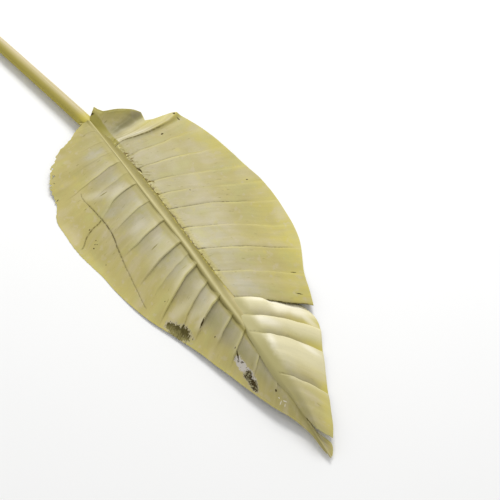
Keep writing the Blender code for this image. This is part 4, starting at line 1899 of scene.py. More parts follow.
    def shares(self, station: Numbers, length: Numbers) -> Numbers:
        """Lay out the rows of points: closer beside the midrib, the crack and the margin.

        Args:
            station: where each vein leaves the midrib.
            length: its length as cut.

        Returns:
            Shares of each vein, veins by rows.
        """
        even = np.linspace(0.0, 1.0, self.rows_across)
        if self.crack is None:
            grid = np.repeat(even[None, :] ** self.row_power, len(station), axis=0)
        else:
            grid = self.crack.closer(station, even)
        angle = np.radians(through(self.plan.vein_angle, station))
        start = through(self.plan.inner_edge, station) / np.sin(angle)
        start = start / np.maximum(length, self.shortest_vein)
        start = np.where(station < self.plan.inner_edge[0][0], 0.0, start)[:, None]
        return start + (1.0 - start) * grid

    def arch(self, row: Numbers, shares: Numbers, kept: Numbers) -> Numbers:
        """Height of the smooth arch from the midrib to the margin.

        Args:
            row: where each vein leaves the midrib, as a column.
            shares: share of its vein at each point.
            kept: share of each vein that the margin leaves, as a column.

        Returns:
            The heights.
        """
        plan = self.plan
        reach = np.maximum(shares * kept, 0.0)
        join = through(self.sizes.midrib_height, row) - through(plan.join_depth, row)
        margin = through(plan.margin_height, row)
        fall = (1 - plan.bell_share) * reach**plan.arch_power + plan.bell_share * ease(0, 1, reach)
        return join + (margin - join) * fall + through(plan.base_wave, row) * np.maximum(shares, 0)

    def middle_surface(
        self, station: Numbers, shares: Numbers, length: Callable[[Numbers], Numbers], kept: Numbers
    ) -> Numbers:
        """Find the points half way through the sheet.

        Args:
            station: where each vein leaves the midrib.
            shares: share of its vein at each point.
            length: gives the length of a vein to the outline from its station.
            kept: share of each vein that the margin leaves.

        Returns:
            Points of the leaf frame, veins by rows by 3.
        """
        plan, relief = self.plan, self.relief
        row, kept = station[:, None], kept[:, None]
        vein = self.route(row, shares)
        span = length(vein) * kept * shares
        along, away = self.vein_plan(vein, span)
        height = self.arch(row, shares, kept) + self.pleats(row, shares)
        start = np.minimum(shares[:, :1], -1e-6)
        height = height - relief.inner_droop * np.where(shares < 0, (shares / start) ** 2, 0.0)
        body = ease(*relief.body_root, shares) * ease(*relief.body_length, length(row))
        height = height + body * relief.swells(row, span, plan.sign)
        ripple = 0.5 - 0.5 * np.cos(2 * np.pi * row / self.vein_gap)
        worn = 1 - relief.vein_loss * ease(*relief.vein_end, shares)
        height = height + relief.vein_height * ripple * body * worn
        if self.crack is not None:
            height = height - self.crack.relief(row, shares, length(row))
        y = plan.sign * away
        scab = patched(self.look.scabs, along, y)
        height = height + relief.scab_height * relief.scab_skin.at(row, span) * scab
        if plan.half is Half.RIGHT:
            height = height + self.fold.relief(row, shares, length(row) * kept * (1 - shares))
            shift, lift = self.tear.moved(row, shares)
            along, height = along + shift, height + lift
        return np.stack([along, y, relief.above_floor(height, self.sheet_thickness / 2)], axis=-1)

    def kept_cells(self, station: Numbers, shares: Numbers) -> Numbers:
        """Find the cells of the grid that the tear and the small holes leave.

        Args:
            station: where each vein leaves the midrib.
            shares: share of its vein at each point.

        Returns:
            True for each cell that is kept.
        """
        low, high = station[:-1, None], station[1:, None]
        outer = np.maximum(shares[:-1, 1:], shares[1:, 1:])
        crossing = (low < self.tear.station) & (high > self.tear.station)
        if self.plan.half is Half.LEFT:
            return ~self.margin.pierced(low, shares[:-1, :-1])
        return ~(crossing & (outer > self.tear.start) & (self.plan.half is Half.RIGHT))

    def blooming(self, column: Numbers, shares: Numbers, span: Numbers, grey: Numbers) -> Numbers:
        """Find how much grey bloom, partly a painted sheen, each point has.

        Args:
            column: where each point's vein starts.
            shares: how far out along it.
            span: distance of each point along its vein.
            grey: share of the grey patches at each point.

        Returns:
            The bloom, from 0 to 1.
        """
        look, bare = self.look, self.bare(column)
        near, middle, growth = look.bare_root
        root = ease(0.0, look.bloom_root, shares)
        root = np.where(bare > 0, ease(near * bare, middle + growth * bare, shares), root)
        uneven = look.bloom_floor + (1.0 - look.bloom_floor) * look.bloom_drift.at(column, span)
        bloom_and_sheen = uneven * (1.0 - ease(*look.bloom_end, shares)) * root * straight(look.bloom_and_sheen, column)
        return np.maximum(bloom_and_sheen, look.grey_bloom * grey)

    def bare(self, column: Numbers) -> Numbers:
        """How bare of bloom the left half is beside the base."""
        return (1.0 - ease(*self.look.bare_end, column)) * (self.plan.half is Half.LEFT)

    def toned(self, column: Numbers, shares: Numbers, grey: Numbers) -> Numbers:
        """Find how light each point is.

        Args:
            column: where each point's vein starts.
            shares: how far out along it.
            grey: share of the grey patches at each point.

        Returns:
            A factor on the colour.
        """
        look = self.look
        lighter = look.outer_tone * ease(*look.outer, shares)
        field_tone = 1.0 + self.bare(column) * (lighter - look.inner_tone * (1.0 - ease(*look.inner, shares)))
        field_tone = field_tone * (1.0 - look.grey_tone * grey * (column < look.grey_tone_end))
        return straight(look.tone, column) * field_tone

    def numbers(
        self, station: Numbers, shares: Numbers, length: Numbers, points: Numbers
    ) -> dict[str, Numbers]:
        """Find the numbers that the finish reads, one for each point of the grid.

        Args:
            station: where each vein leaves the midrib.
            shares: share of each vein at each point.
            length: length of each vein as cut.
            points: points of the leaf frame.

        Returns:
            Grids of numbers by name.
        """
        plan, look = self.plan, self.look
        column = np.broadcast_to(station[:, None], shares.shape)
        span = length[:, None] * np.maximum(shares, 0.0)
        edge = length[:, None] * (1.0 - shares)
        x, y = points[..., 0], points[..., 1]
        grey = patched(look.greys, x, y)
        # Painted highlights in patches, on the right half only past the tear.
        white = patched(look.highlight_patches, x, y) * look.highlight_strength
        if plan.half is Half.LEFT:
            found = self.crease_look.left(self.table, column, shares) | {"white": white}
        else:
            found = self.crease_look.right(self.table, column, shares) | {"white": white}
        if self.crack is not None:
            ink = self.crack.inked(column, shares, length[:, None])
            found["line"] = np.maximum(found["line"], ink)
        if plan.half is Half.RIGHT:
            tear_edge = self.tear.station + look.tear_edge
            found["white"] = white * ease(self.tear.station, tear_edge, column)
            # The base fold's painted light and shade, and the tear's painted shadow and highlight.
            for extra in (self.fold.colours(column, shares, edge), self.tear.colours(column, shares)):
                for name, values in extra.items():
                    found[name] = np.maximum(found[name], values)
        beyond = (plan.sign * y - through(self.rib_width, x)) * 1000.0
        rim = look.rim[0] - look.rim[1] * ease(*look.rim_fades, column)
        return found | {
            "station": column, "span": span, "share": shares,
            "beyond": np.clip(beyond, -look.beyond_most, look.beyond_most),
            "bloom_and_sheen": self.blooming(column, shares, span, grey),
            "tone": self.toned(column, shares, grey),
            "rim": rim * (1.0 - ease(*look.rim_width, edge)),
            "hem": straight(look.hem, column), "hem_reach": straight(look.hem_reach, column),
            "olive_and_crevice_shade": straight(look.olive_and_crevice_shade, column), "crackle": straight(look.crackle, column),
            "scab": patched(look.scabs, x, y), "mould": patched(look.moulds, x, y),
        }

    def build(self) -> bpy.types.Object:
        """Make the half as a closed sheet that holds the numbers of its finish.

        Returns:
            The piece.
        """
        station = self.stations()
        table = np.linspace(0.0, self.sizes.blade_length, self.length_samples)
        lengths = self.vein_length(table)

        def length(place: Numbers) -> Numbers:
            """Length of the vein that leaves the midrib at each place."""
            return np.interp(place, table, lengths)

        kept = self.kept_share(station, length(station))
        cut_length = length(station) * kept
        shares = self.shares(station, cut_length)
        points = self.middle_surface(station, shares, length, kept)
        normal = np.cross(np.gradient(points, axis=0), np.gradient(points, axis=1)) * self.plan.sign
        normal /= np.maximum(np.linalg.norm(normal, axis=-1, keepdims=True), 1e-12)
        grown = 1.0 - np.exp(-cut_length[:, None] * (1.0 - shares) / self.thinning_reach)
        thickness = self.margin_thickness + (self.sheet_thickness - self.margin_thickness) * grown
        half_thick = normal * thickness[..., None] / 2
        upper, lower = self.place.moved(points + half_thick), self.place.moved(points - half_thick)
        cells = self.kept_cells(station, shares)
        mesh, source = sheet_mesh(self.plan.half.value, upper, lower, cells, self.plan.sign < 0)
        for name, values in self.numbers(station, shares, cut_length, points).items():
            hold(mesh, name, values.reshape(-1)[source])
        self.made = placed(mesh, self.sharp_angle)
        return self.made

    def dress(self, finish: BladeFinish) -> None:
        """Give the half its finish, and say what it stands for."""
        self.made.data.materials.append(finish.material(self.plan.half, self.place.base))
        settle(self.made)


def placed(mesh: bpy.types.Mesh, sharp_angle: float) -> bpy.types.Object:
    """Make a mesh smooth, apart from its sharp edges, and put it into the scene.

    Args:
        mesh: the mesh, whose name the piece takes.
        sharp_angle: the angle in degrees from which an edge stays sharp.

    Returns:
        The piece.
    """
    mesh.shade_smooth()
    mesh.set_sharp_from_angle(angle=math.radians(sharp_angle))
    made = bpy.data.objects.new(mesh.name, mesh)
    bpy.context.scene.collection.objects.link(made)
    return made


def settle(piece: bpy.types.Object) -> None:
    """Say that a piece rides on the leaf's body and takes the place of its solid.

    Args:
        piece: the finished piece.
    """
    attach(piece, "root")
    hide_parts(LEAF_NODE)
    log.info("%s: %d faces", piece.name, len(piece.data.polygons))


@dataclass(frozen=True)
class StalkFinish:
    """Petiole and midrib: yellow olive, with a painted highlight along the ridge and on the petiole's upper
    side, olive painted shade on the midrib's left wall, and a darker olive right side that is partly painted
    shade.
    """

    petiole: Colour = srgb(166, 153, 70)
    petiole_lit: Colour = srgb(198, 184, 150)
    petiole_low: Colour = srgb(168, 154, 36)
    tab: Colour = srgb(190, 176, 66)
    rib: Colour = srgb(160, 149, 88)
    # Painted highlight along the midrib's ridge.
    ridge: Colour = srgb(190, 180, 124)
    # Darker olive on the midrib's right side near the base, partly painted shade.
    strip: Colour = srgb(132, 121, 46)
    # Painted shade on the midrib's left wall.
    olive: Colour = srgb(140, 130, 72)
    tan: Colour = srgb(188, 175, 120)
    yellow: Colour = srgb(188, 174, 72)
    brown: Colour = srgb(88, 72, 36)
    cut: Colour = srgb(206, 192, 146)
    fibres: DrawnNoise = DrawnNoise(FIBRES, (60.0, 26.0), 3.0, 0.6)
    streaks: DrawnNoise = DrawnNoise(FIBRES, (11.0, 3.0), 3.0, 0.6)
    patches: PlaceNoise = PlaceNoise(70.0, 4.0, 0.6)
    grain: PlaceNoise = PlaceNoise(1100.0, 3.0, 0.6)
    specks: PlaceNoise = PlaceNoise(300.0, 3.0, 0.6)
    breaks: PlaceNoise = PlaceNoise(520.0, 3.0, 0.75)
    lit_streaks: Carry = (0.30, 0.70, 0.45, 1.0)
    speck_edge: Stretch = (0.50, 0.62)
    break_edge: Stretch = (0.44, 0.56)
    fibre_tone: Carry = (0.25, 0.75, 0.93, 1.05)
    grain_tone: Carry = (0.3, 0.7, 0.98, 1.02)
    roughness: Carry = (0.3, 0.7, 0.44, 0.56)
    specular: float = 0.4
    fibre_height: float = 0.0001
    grain_height: float = 0.00004

    def material(self) -> bpy.types.Material:
        """Make the stalk's material.

        Returns:
            The material.
        """
        nodes = Nodes("dried stalk")
        fibres, grain = self.fibres.made(nodes), self.grain.made(nodes)
        petiole = nodes.mix(nodes.read("top"), self.petiole_low, self.petiole)
        lit = nodes.times(nodes.spread(self.streaks.made(nodes), *self.lit_streaks), nodes.read("lit"))
        petiole = nodes.mix(lit, petiole, self.petiole_lit)
        petiole = nodes.mix(nodes.read("tab"), petiole, self.tab)
        # Right side partly painted shade; painted highlight on the ridge, painted shade on the left wall, and
        # tan also as painted light on that wall beside the base.
        ribbed = nodes.mix(nodes.read("strip"), self.rib, self.strip)
        for name, colour in (("tan", self.tan), ("ridge", self.ridge), ("flank", self.olive)):
            ribbed = nodes.mix(nodes.read(name), ribbed, colour)
        spotty = nodes.spread(self.specks.made(nodes), *self.speck_edge)
        ribbed = nodes.mix(nodes.times(nodes.read("edge"), spotty), ribbed, self.yellow)
        colour = nodes.mix(nodes.read("rib"), petiole, ribbed)
        tone = nodes.times(nodes.spread(fibres, *self.fibre_tone), nodes.spread(grain, *self.grain_tone))
        colour = nodes.toned(colour, tone)
        broken = nodes.spread(self.breaks.made(nodes), *self.break_edge)
        colour = nodes.mix(nodes.times(nodes.read("crackle"), broken), colour, self.brown)
        colour = nodes.mix(nodes.read("cut"), colour, self.cut)
        rough = nodes.spread(self.patches.made(nodes), *self.roughness)
        normal = nodes.bump(grain, self.grain_height, nodes.bump(fibres, self.fibre_height))
        return nodes.finished(colour, rough, self.specular, normal)


@dataclass(frozen=True)
class RibShape:
    """Cross-sections of the midrib along the blade: half widths, depth and the ridge on it."""

    left: Knots = (
        (0.000, 0.0016), (0.035, 0.0010), (0.063, 0.0014), (0.100, 0.0030), (0.150, 0.0038),
        (0.200, 0.0036), (0.235, 0.0048), (0.255, 0.0046), (0.290, 0.0032), (0.340, 0.0018),
        (0.380, 0.0011), (0.420, 0.0007),
    )
    right: Knots = (
        (0.000, 0.0064), (0.024, 0.0070), (0.050, 0.0086), (0.070, 0.0090), (0.090, 0.0086),
        (0.110, 0.0082), (0.130, 0.0078), (0.165, 0.0068), (0.200, 0.0064), (0.240, 0.0070),
        (0.265, 0.0082), (0.280, 0.0084), (0.300, 0.0062), (0.340, 0.0034), (0.380, 0.0018),
        (0.420, 0.0007),
    )
    depth: Knots = ((0.0, 0.0066), (0.10, 0.0064), (0.20, 0.0060), (0.30, 0.0048), (0.42, 0.0013))
    ridge_place: Knots = (
        (0.000, 0.0008), (0.033, 0.0005), (0.080, -0.0004), (0.128, -0.0016), (0.200, -0.0010),
        (0.243, -0.0018), (0.300, 0.0), (0.420, 0.0),
    )
    ridge_width: Knots = ((0.0, 0.0010), (0.09, 0.0013), (0.14, 0.0021), (0.28, 0.0022), (0.42, 0.0010))
    ridge_height: Knots = ((0.0, 0.0009), (0.09, 0.0008), (0.14, 0.0006), (0.28, 0.0007), (0.42, 0.0003))
    slope: Knots = ((0.0, 0.0016), (0.10, 0.0014), (0.28, 0.0010), (0.42, 0.0))
    start: float = 0.0020
    start_sink: float = 0.0008
    sink: float = 0.0022
    sink_from: Stretch = (0.270, 0.308)
    sink_to: Stretch = (0.378, 0.390)


@dataclass(frozen=True)
class StalkLook:
    """Where the stalk has its colours: stations in metres, and places round its section.

    A place round the section is told by how far right (-1 to 1) and how high (-1 to 1) it is.
    """

    crackle: Knots
    # Painted shade on the midrib's left wall.
    wall: Stretch = (0.35, 0.95)
    wall_shade: Knots = ((0.0, 0.0), (0.06, 0.05), (0.12, 0.55), (0.28, 0.75), (0.34, 0.4), (0.42, 0.3))
    strip: Stretch = (0.0, 0.55)
    strip_to_tan: Stretch = (0.235, 0.265)
    tan: Stretch = (0.2, 0.8)
    # Painted light that lightens the left wall beside the base.
    wall_light: float = 0.8
    wall_light_to: Stretch = (0.06, 0.13)
    top: Stretch = (-0.5, 0.6)
    top_side: float = 0.5
    lit: Stretch = (-0.1, 0.9)
    lit_weights: Stretch = (0.45, 0.8)
    ridge_core: float = 0.8
    edge: Stretch = (0.60, 0.90)
    edge_from: Stretch = (0.09, 0.12)
    edge_to: Stretch = (0.24, 0.26)
    crackle_side: Stretch = (0.82, 0.95)
    base_crack: Stretch = (-0.0030, 0.0030)
    base_crack_sides: Stretch = (0.6, 0.9)


@dataclass
class Stalk:
    """Petiole and midrib: one tapered loft from the cut end to the tip."""

    sizes: LeafSizes
    place: LeafPlace
    rib: RibShape
    look: StalkLook
    petiole_reach: float = 0.330
    petiole_width: float = 0.0138
    petiole_height: float = 0.0124
    cut_end_width: float = 0.0122
    petiole_taper: float = 0.8
    petiole_slant: float = 0.17
    petiole_curve: float = 0.05
    shoulder: float = 0.0050
    shoulder_overlap: float = 0.0015
    tab_reach: float = 0.020
    groove_depth: float = 0.12
    groove_turn: float = 0.35
    fibre_height: float = 0.010
    fibre_drift: Drift = Drift(71, 0.03, 0.35)
    sides: int = 96
    petiole_sections: int = 170
    shoulder_sections: int = 24
    midrib_sections: int = 320
    squareness: float = 3.0
    sharp_angle: float = 60.0
    made: bpy.types.Object | None = field(default=None, init=False)

    def sections(self) -> dict[str, Numbers]:
        """Lay out the sections from the cut end to the tip.

        Returns:
            Centre, half widths, height and kind of each section, by name.
        """
        rib, sizes = self.rib, self.sizes
        petiole = np.linspace(self.petiole_reach, self.shoulder, self.petiole_sections)
        quarter = np.linspace(0.0, np.pi / 2, self.shoulder_sections + 1)[1:-1]
        rounding = self.shoulder - (self.shoulder + self.shoulder_overlap) * np.sin(quarter)
        reach = np.concatenate([petiole, rounding])
        closing = np.concatenate([petiole * 0 + 1.0, np.cos(quarter)])
        share = np.maximum(reach, 0.0) / self.petiole_reach
        width = self.petiole_width + (self.cut_end_width - self.petiole_width) * share**self.petiole_taper
        height = width * self.petiole_height / self.petiole_width
        base_top = float(through(sizes.midrib_height, 0.0))
        end_top = self.cut_end_width * self.petiole_height / self.petiole_width
        top = base_top + (end_top - base_top) * share
        along = np.linspace(rib.start, sizes.blade_length, self.midrib_sections)
        rib_left, rib_right = through(rib.left, along), through(rib.right, along)
        depth, rib_top = through(rib.depth, along), through(sizes.midrib_height, along)
        rib_top = rib_top - rib.sink * ease(*rib.sink_from, along) * (1.0 - ease(*rib.sink_to, along))

        def closed(full: Numbers, end: float) -> Numbers:
            """A size of the petiole that closes to the midrib's over the rounded shoulder."""
            return end + (full - end) * closing

        return {
            "x": np.concatenate([-reach, along]),
            "y": np.concatenate([-self.petiole_slant * reach - self.petiole_curve * reach**2, along * 0]),
            "top": np.concatenate([closed(top, rib_top[0] - rib.start_sink), rib_top]),
            "left": np.concatenate([closed(width / 2, rib_left[0]), rib_left]),
            "right": np.concatenate([closed(width / 2, rib_right[0]), rib_right]),
            "tall": np.concatenate([closed(height, depth[0]), depth]),
            "rib": np.concatenate([1.0 - closing, along * 0 + 1.0]),
            "tab": np.concatenate([ease(self.tab_reach, 0.0, reach), along * 0]),
        }

    def build(self) -> bpy.types.Object:
        """Make the stalk as one closed loft that holds the numbers of its finish.

        Returns:
            The piece.
        """
        part = self.sections()
        turn = np.linspace(0.0, 2 * np.pi, self.sides, endpoint=False)
        groove = 1 - self.groove_depth * bell(turn, 1.5 * np.pi, self.groove_turn)
        column = {name: values[:, None] for name, values in part.items()}
        power = 2.0 / (2.0 + (self.squareness - 2.0) * column["rib"])
        cos = np.sign(np.cos(turn)) * np.abs(np.cos(turn)) ** power * groove
        sin = np.sign(np.sin(turn)) * np.abs(np.sin(turn)) ** power * groove
        heading = np.gradient(part["y"], part["x"])
        across_x, across_y = -heading / np.hypot(heading, 1), 1 / np.hypot(heading, 1)
        side = np.where(cos > 0, column["right"] * cos, column["left"] * cos)
        fibre = 1 + self.fibre_height * self.fibre_drift.at(column["x"], turn[None, :])
        x = column["x"] + across_x[:, None] * side * fibre
        y = column["y"] + across_y[:, None] * side * fibre
        half_tall = column["tall"] / 2
        relief = self.ridge_relief(np.maximum(column["x"], 0.0), y, cos, sin) * column["rib"]
        z = column["top"] - half_tall + half_tall * sin * fibre + relief
        mesh = self.loft(self.place.moved(np.stack([x, y, z], axis=-1)))
        self.number(mesh, part, cos, sin, side)
        self.made = placed(mesh, self.sharp_angle)
        return self.made

    def ridge_relief(self, along: Numbers, y: Numbers, cos: Numbers, sin: Numbers) -> Numbers:
        """Find how far the midrib's top sinks beside its ridge.

        Args:
            along: station of each section, as a column.
            y: place of each point across the midrib.
            cos: how far to the right each point is in its section, -1 to 1.
            sin: how high each point is in its section, -1 to 1.

        Returns:
            The changes of height, none of them above zero.
        """
        rib = self.rib
        height = through(rib.ridge_height, along)
        ridge = height * bell(y, through(rib.ridge_place, along), through(rib.ridge_width, along))
        slope = through(rib.slope, along) * np.maximum(cos, 0.0)
        return (ridge - height - slope) * (sin > 0) * np.sqrt(np.maximum(sin, 0.0))

    def loft(self, ring: Numbers) -> bpy.types.Mesh:
        """Close a skin over rings of points, with a cap at each end.

        Args:
            ring: sections by points by 3.

        Returns:
            The mesh, whose last two vertices are the middles of the caps.
        """
        count, sides = ring.shape[:2]
        index = np.arange(count * sides).reshape(count, sides)
        after = np.roll(index, -1, axis=1)
        quads = np.stack([index[:-1], after[:-1], after[1:], index[1:]], axis=-1).reshape(-1, 4)
        ends = ring[[0, -1]].mean(axis=1)
        points = np.concatenate([ring.reshape(-1, 3), ends])
        first, last = count * sides, count * sides + 1
        caps = [(first, int(after[0, k]), int(index[0, k])) for k in range(sides)]
        caps += [(last, int(index[-1, k]), int(after[-1, k])) for k in range(sides)]
        mesh = bpy.data.meshes.new("stalk")
        mesh.from_pydata(points.tolist(), [], [tuple(quad) for quad in quads.tolist()] + caps)
        return mesh

    def number(
        self, mesh: bpy.types.Mesh, part: dict[str, Numbers], cos: Numbers, sin: Numbers, side: Numbers
    ) -> None:
        """Keep the numbers of the finish in the mesh.

        Args:
            mesh: the stalk's mesh.
            part: the sections that it was made from.
            cos: how far to the right each point is in its section, -1 to 1.
            sin: how high each point is in its section, -1 to 1.
            side: distance of each point from the section's middle.
        """
        look, rib = self.look, self.rib
        x = np.broadcast_to(part["x"][:, None], side.shape)
        along = np.maximum(x, 0.0)
        place, width = through(rib.ridge_place, along), through(rib.ridge_width, along)
        wall = ease(*look.wall, np.where(cos < 0, -cos, 0.0))
        to_tan = ease(*look.strip_to_tan, along)
        wall_light = look.wall_light * wall * (1.0 - ease(*look.wall_light_to, along))
        edge = ease(*look.edge, cos) * ease(*look.edge_from, along)
        cracked = ease(*look.crackle_side, cos) * straight(look.crackle, along)
        base_crack = bell(x, *look.base_crack) * ease(*look.base_crack_sides, np.abs(cos))
        values = {
            "run": x,
            "turn": np.arctan2(sin, cos),
            "rib": part["rib"][:, None] + x * 0,
            "tab": part["tab"][:, None] + x * 0,
            "top": ease(*look.top, sin + look.top_side * cos),
            "lit": ease(*look.lit, look.lit_weights[0] * sin + look.lit_weights[1] * cos),
            # Painted highlight on the ridge, painted shade on the left wall, partly painted shade on the
            # right side, painted light on the left wall beside the base.
            "ridge": bell(side, place, width * look.ridge_core) * (sin > 0),
            "flank": wall * straight(look.wall_shade, along),
            "strip": ease(*look.strip, cos) * (1.0 - to_tan),
            "tan": np.maximum(ease(*look.tan, cos) * to_tan, wall_light),
            "edge": edge * (1.0 - ease(*look.edge_to, along)),
            "crackle": np.maximum(cracked, base_crack),
            "cut": x * 0,
        }
        for name, grid in values.items():
            end = 1.0 if name == "cut" else 0.0
            hold(mesh, name, np.concatenate([grid.reshape(-1), [end, 0.0]]))

    def dress(self, finish: StalkFinish) -> None:
        """Give the stalk its finish, and say what it stands for."""
        self.made.data.materials.append(finish.material())
        settle(self.made)


@dataclass(frozen=True)
class FloorFinish:
    """Matt white floor with the faintest unevenness."""

    white: Colour = (0.93, 0.93, 0.925)
    soft_white: Colour = (0.90, 0.90, 0.895)
    cloud: PlaceNoise = PlaceNoise(3.0)
    roughness: float = 0.85
    specular: float = 0.1

    def material(self) -> bpy.types.Material:
        """Make the floor's material.

        Returns:
            The material.
        """
        nodes = Nodes("pale floor")
        cloud = self.cloud.made(nodes)
        return nodes.finished(nodes.mix(cloud, self.white, self.soft_white), self.roughness, self.specular)


@dataclass
class Studio:
    """Pale floor, soft light from behind the leaf, and the camera that looks down on it."""

    place: LeafPlace
    floor_side: float = 12.0
    azimuth: float = 57.614
    elevation: float = 55.0
    distance: float = 1.1
    target: tuple[float, float, float] = (0.2078, 0.0562, 0.0)
    lens: float = 86.06
    sensor: float = 36.0
    nearest: float = 0.05
    sky_strength: float = 0.62
    key_power: float = 21.0
    key_side: float = 0.8
    key_azimuth: float = 232.0
    key_elevation: float = 46.0
    key_distance: float = 1.7

    def floor(self) -> None:
        """Lay the floor under the leaf."""
        side = self.floor_side / 2
        mesh = bpy.data.meshes.new("floor")
        corners = [(-side, -side, 0), (side, -side, 0), (side, side, 0), (-side, side, 0)]
        mesh.from_pydata(corners, [], [(0, 1, 2, 3)])
        mesh.materials.append(FloorFinish().material())
        laid = bpy.data.objects.new("floor", mesh)
        bpy.context.scene.collection.objects.link(laid)

    def direction(self, azimuth: float, elevation: float) -> Vector:
        """Direction from the target to a place at this azimuth and elevation."""
        turn, lift = math.radians(azimuth), math.radians(elevation)
        return Vector((math.sin(turn) * math.cos(lift), -math.cos(turn) * math.cos(lift), math.sin(lift)))

    def looking(self, back: Vector) -> Matrix:
        """Turn that points an object's -Z away from this direction."""
        return back.to_track_quat("Z", "Y").to_matrix().to_4x4()

    def lights(self) -> None:
        """Hang a soft key light and set the sky."""
        middle = Vector(self.target) + self.place.base
        toward = self.direction(self.key_azimuth, self.key_elevation)
        lamp = bpy.data.lights.new("key", "AREA")
        lamp.shape = "DISK"
        lamp.size = self.key_side
        lamp.energy = self.key_power
        made = bpy.data.objects.new("key", lamp)
        made.matrix_world = Matrix.Translation(middle + toward * self.key_distance) @ self.looking(toward)
        bpy.context.scene.collection.objects.link(made)
        world = bpy.data.worlds.new("sky")
        world.use_nodes = True
        world.node_tree.nodes["Background"].inputs["Color"].default_value = (1.0, 1.0, 1.0, 1.0)
        world.node_tree.nodes["Background"].inputs["Strength"].default_value = self.sky_strength
        bpy.context.scene.world = world

    def camera(self) -> None:
        """Set the camera at the photograph's viewing angle."""
        turn = math.radians(self.azimuth)
        back = self.direction(self.azimuth, self.elevation)
        right = Vector((math.cos(turn), math.sin(turn), 0.0))
        up = back.cross(right)
        spot = Vector(self.target) + self.place.base + back * self.distance
        eye = bpy.data.cameras.new("camera")
        eye.lens = self.lens
        eye.sensor_width = self.sensor
        eye.clip_start = self.nearest
        made = bpy.data.objects.new("camera", eye)
        axes = Matrix((right, up, back)).transposed().to_4x4()
        made.matrix_world = Matrix.Translation(spot) @ axes
        bpy.context.scene.collection.objects.link(made)
        bpy.context.scene.camera = made

    def build(self) -> None:
        """Make the floor, the lights and the camera, with colours shown as they are."""
        self.floor()
        self.lights()
        self.camera()
        bpy.context.scene.view_settings.view_transform = "Standard"


LEFT_LOOK = HalfLook(
    tone=(
        (0.0, 0.88), (0.03, 0.90), (0.06, 0.96), (0.12, 1.0), (0.16, 1.05), (0.22, 1.10),
        (0.25, 1.10), (0.30, 1.07), (0.34, 1.0), (0.42, 1.0),
    ),
    bloom_and_sheen=(
        (0.0, 0.05), (0.03, 0.10), (0.06, 0.5), (0.08, 0.9), (0.10, 1.0), (0.33, 1.0), (0.35, 0.25),
        (0.42, 0.25),
    ),
    bloom_end=(0.25, 0.58),
    bloom_root=0.04,
    hem=((0.0, 0.3), (0.04, 0.6), (0.10, 0.7), (0.22, 0.6), (0.28, 0.8), (0.42, 0.6)),
    hem_reach=((0.0, 5.0), (0.06, 7.0), (0.18, 7.5), (0.22, 3.5), (0.42, 3.0)),
    # Painted shade in the crevice beside the midrib.
    olive_and_crevice_shade=(
        (0.0, 0.8), (0.02, 0.2), (0.08, 0.10), (0.13, 0.50), (0.20, 0.65), (0.28, 0.75), (0.33, 0.5),
        (0.42, 0.3),
    ),
    scabs=(
        Patch(0.2515, -0.0450, 0.0140, 0.0060, 20.0), Patch(0.2560, -0.0418, 0.0085, 0.0046, -8.0),
        Patch(0.2420, -0.0485, 0.0050, 0.0034, 30.0), Patch(0.3240, -0.0189, 0.0060, 0.0034),
        Patch(0.3320, -0.0192, 0.0080, 0.0030),
    ),
    moulds=(Patch(0.3120, -0.0188, 0.0095, 0.0036), Patch(0.3250, -0.0180, 0.0095, 0.0036)),
    greys=(
        Patch(0.0430, -0.0160, 0.0110, 0.0060, 92.0), Patch(0.0800, -0.0195, 0.0110, 0.0075, 40.0),
        Patch(0.1140, -0.0320, 0.0120, 0.0056, 58.0),
    ),
    # Painted highlights on the left pleats.
    highlight_patches=(
        Patch(0.2363, -0.0346, 0.0062, 0.0100), Patch(0.2489, -0.0246, 0.0050, 0.0080),
        Patch(0.0862, -0.0370, 0.0150, 0.0046, 54.0), Patch(0.1440, -0.0250, 0.0050, 0.0085, 10.0),
        Patch(0.0974, -0.0217, 0.0050, 0.0090), Patch(0.1687, -0.0175, 0.0060, 0.0075),
        Patch(0.2600, -0.0270, 0.0040, 0.0060),
    ),
    highlight_strength=0.26,
)
LEFT_CRACK = Crack(
    path=(
        (0.0715, 0.64), (0.0880, 0.59), (0.1060, 0.565), (0.1260, 0.58), (0.1450, 0.65),
        (0.1580, 0.70), (0.1770, 0.77), (0.1900, 0.84), (0.2000, 0.91),
    ),
    ink=(
        (0.0715, 0.5), (0.090, 0.9), (0.110, 1.1), (0.125, 1.2), (0.150, 1.2), (0.165, 0.7),
        (0.1997, 0.5),
    ),
)
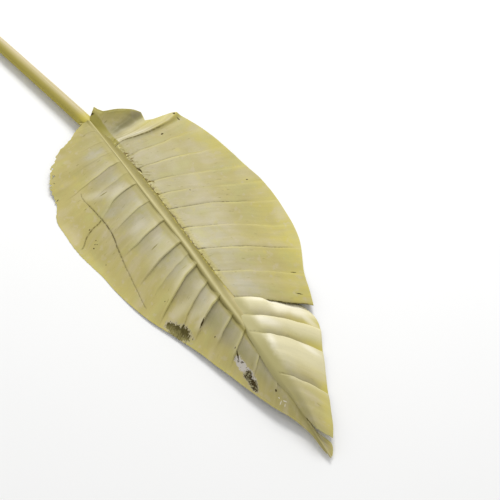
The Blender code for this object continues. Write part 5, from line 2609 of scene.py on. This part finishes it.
RIGHT_LOOK = HalfLook(
    # Lighter over the base fold's crest and on the torn lobe just past the tear, where the tone carries
    # painted light.
    tone=(
        (0.0, 0.90), (0.012, 0.85), (0.024, 0.78), (0.034, 0.80), (0.041, 0.96), (0.0476, 1.00),
        (0.0492, 0.82), (0.08, 0.80), (0.12, 0.83), (0.15, 0.86), (0.19, 0.94), (0.24, 0.86),
        (0.256, 0.87), (0.258, 1.10), (0.275, 1.03), (0.30, 0.98), (0.33, 1.01), (0.345, 0.96),
        (0.40, 0.90),
    ),
    bloom_and_sheen=(
        (0.0, 0.5), (0.05, 0.42), (0.15, 0.50), (0.19, 0.85), (0.33, 0.90), (0.35, 0.25), (0.42, 0.25),
    ),
    hem=((0.0, 0.0), (0.10, 0.10), (0.12, 0.60), (0.23, 0.60), (0.25, 0.2), (0.29, 0.0), (0.42, 0.0)),
    crackle=(
        (0.030, 0.0), (0.050, 0.5), (0.065, 0.95), (0.105, 1.0), (0.13, 0.95), (0.17, 0.9),
        (0.22, 0.8), (0.24, 0.0),
    ),
    # Painted highlights on the lobe's pillows.
    highlight_patches=(
        Patch(0.2845, 0.0400, 0.0105, 0.0058, 70.0), Patch(0.2930, 0.0520, 0.0100, 0.0050, 55.0),
        Patch(0.3010, 0.0560, 0.0130, 0.0028, 24.0), Patch(0.2930, 0.0180, 0.0125, 0.0044, 47.0),
        Patch(0.3150, 0.0090, 0.0110, 0.0046, -25.0), Patch(0.3300, 0.0400, 0.0095, 0.0034, 30.0),
        Patch(0.2700, 0.0250, 0.0080, 0.0034, 66.0),
    ),
)


def build_leaf(sizes: LeafSizes, place: LeafPlace) -> None:
    """Build and dress every piece of the leaf.

    Args:
        sizes: driving dimensions.
        place: where the leaf lies.
    """
    rib = RibShape()
    left = BladeHalf(LEFT_PLAN, sizes, place, rib.left, LEFT_LOOK, LEFT_CRACK)
    right = BladeHalf(RIGHT_PLAN, sizes, place, rib.right, RIGHT_LOOK)
    strip = BladeHalf(STRIP_PLAN, sizes, place, rib.right, rows_across=24, vein_gap=0.0014)
    for half in (left, right, strip):
        half.build()
        half.dress(BladeFinish())
    stalk = Stalk(sizes, place, rib, StalkLook(RIGHT_LOOK.crackle))
    stalk.build()
    stalk.dress(StalkFinish())


def main() -> None:
    """Build the scene in order: the studio, then the leaf."""
    logging.basicConfig(level=logging.INFO, format="%(name)s: %(message)s")
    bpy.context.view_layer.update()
    sizes = LeafSizes()
    place = LeafPlace(sizes)
    Studio(place).build()
    build_leaf(sizes, place)


if __name__ == "__main__":
    main()
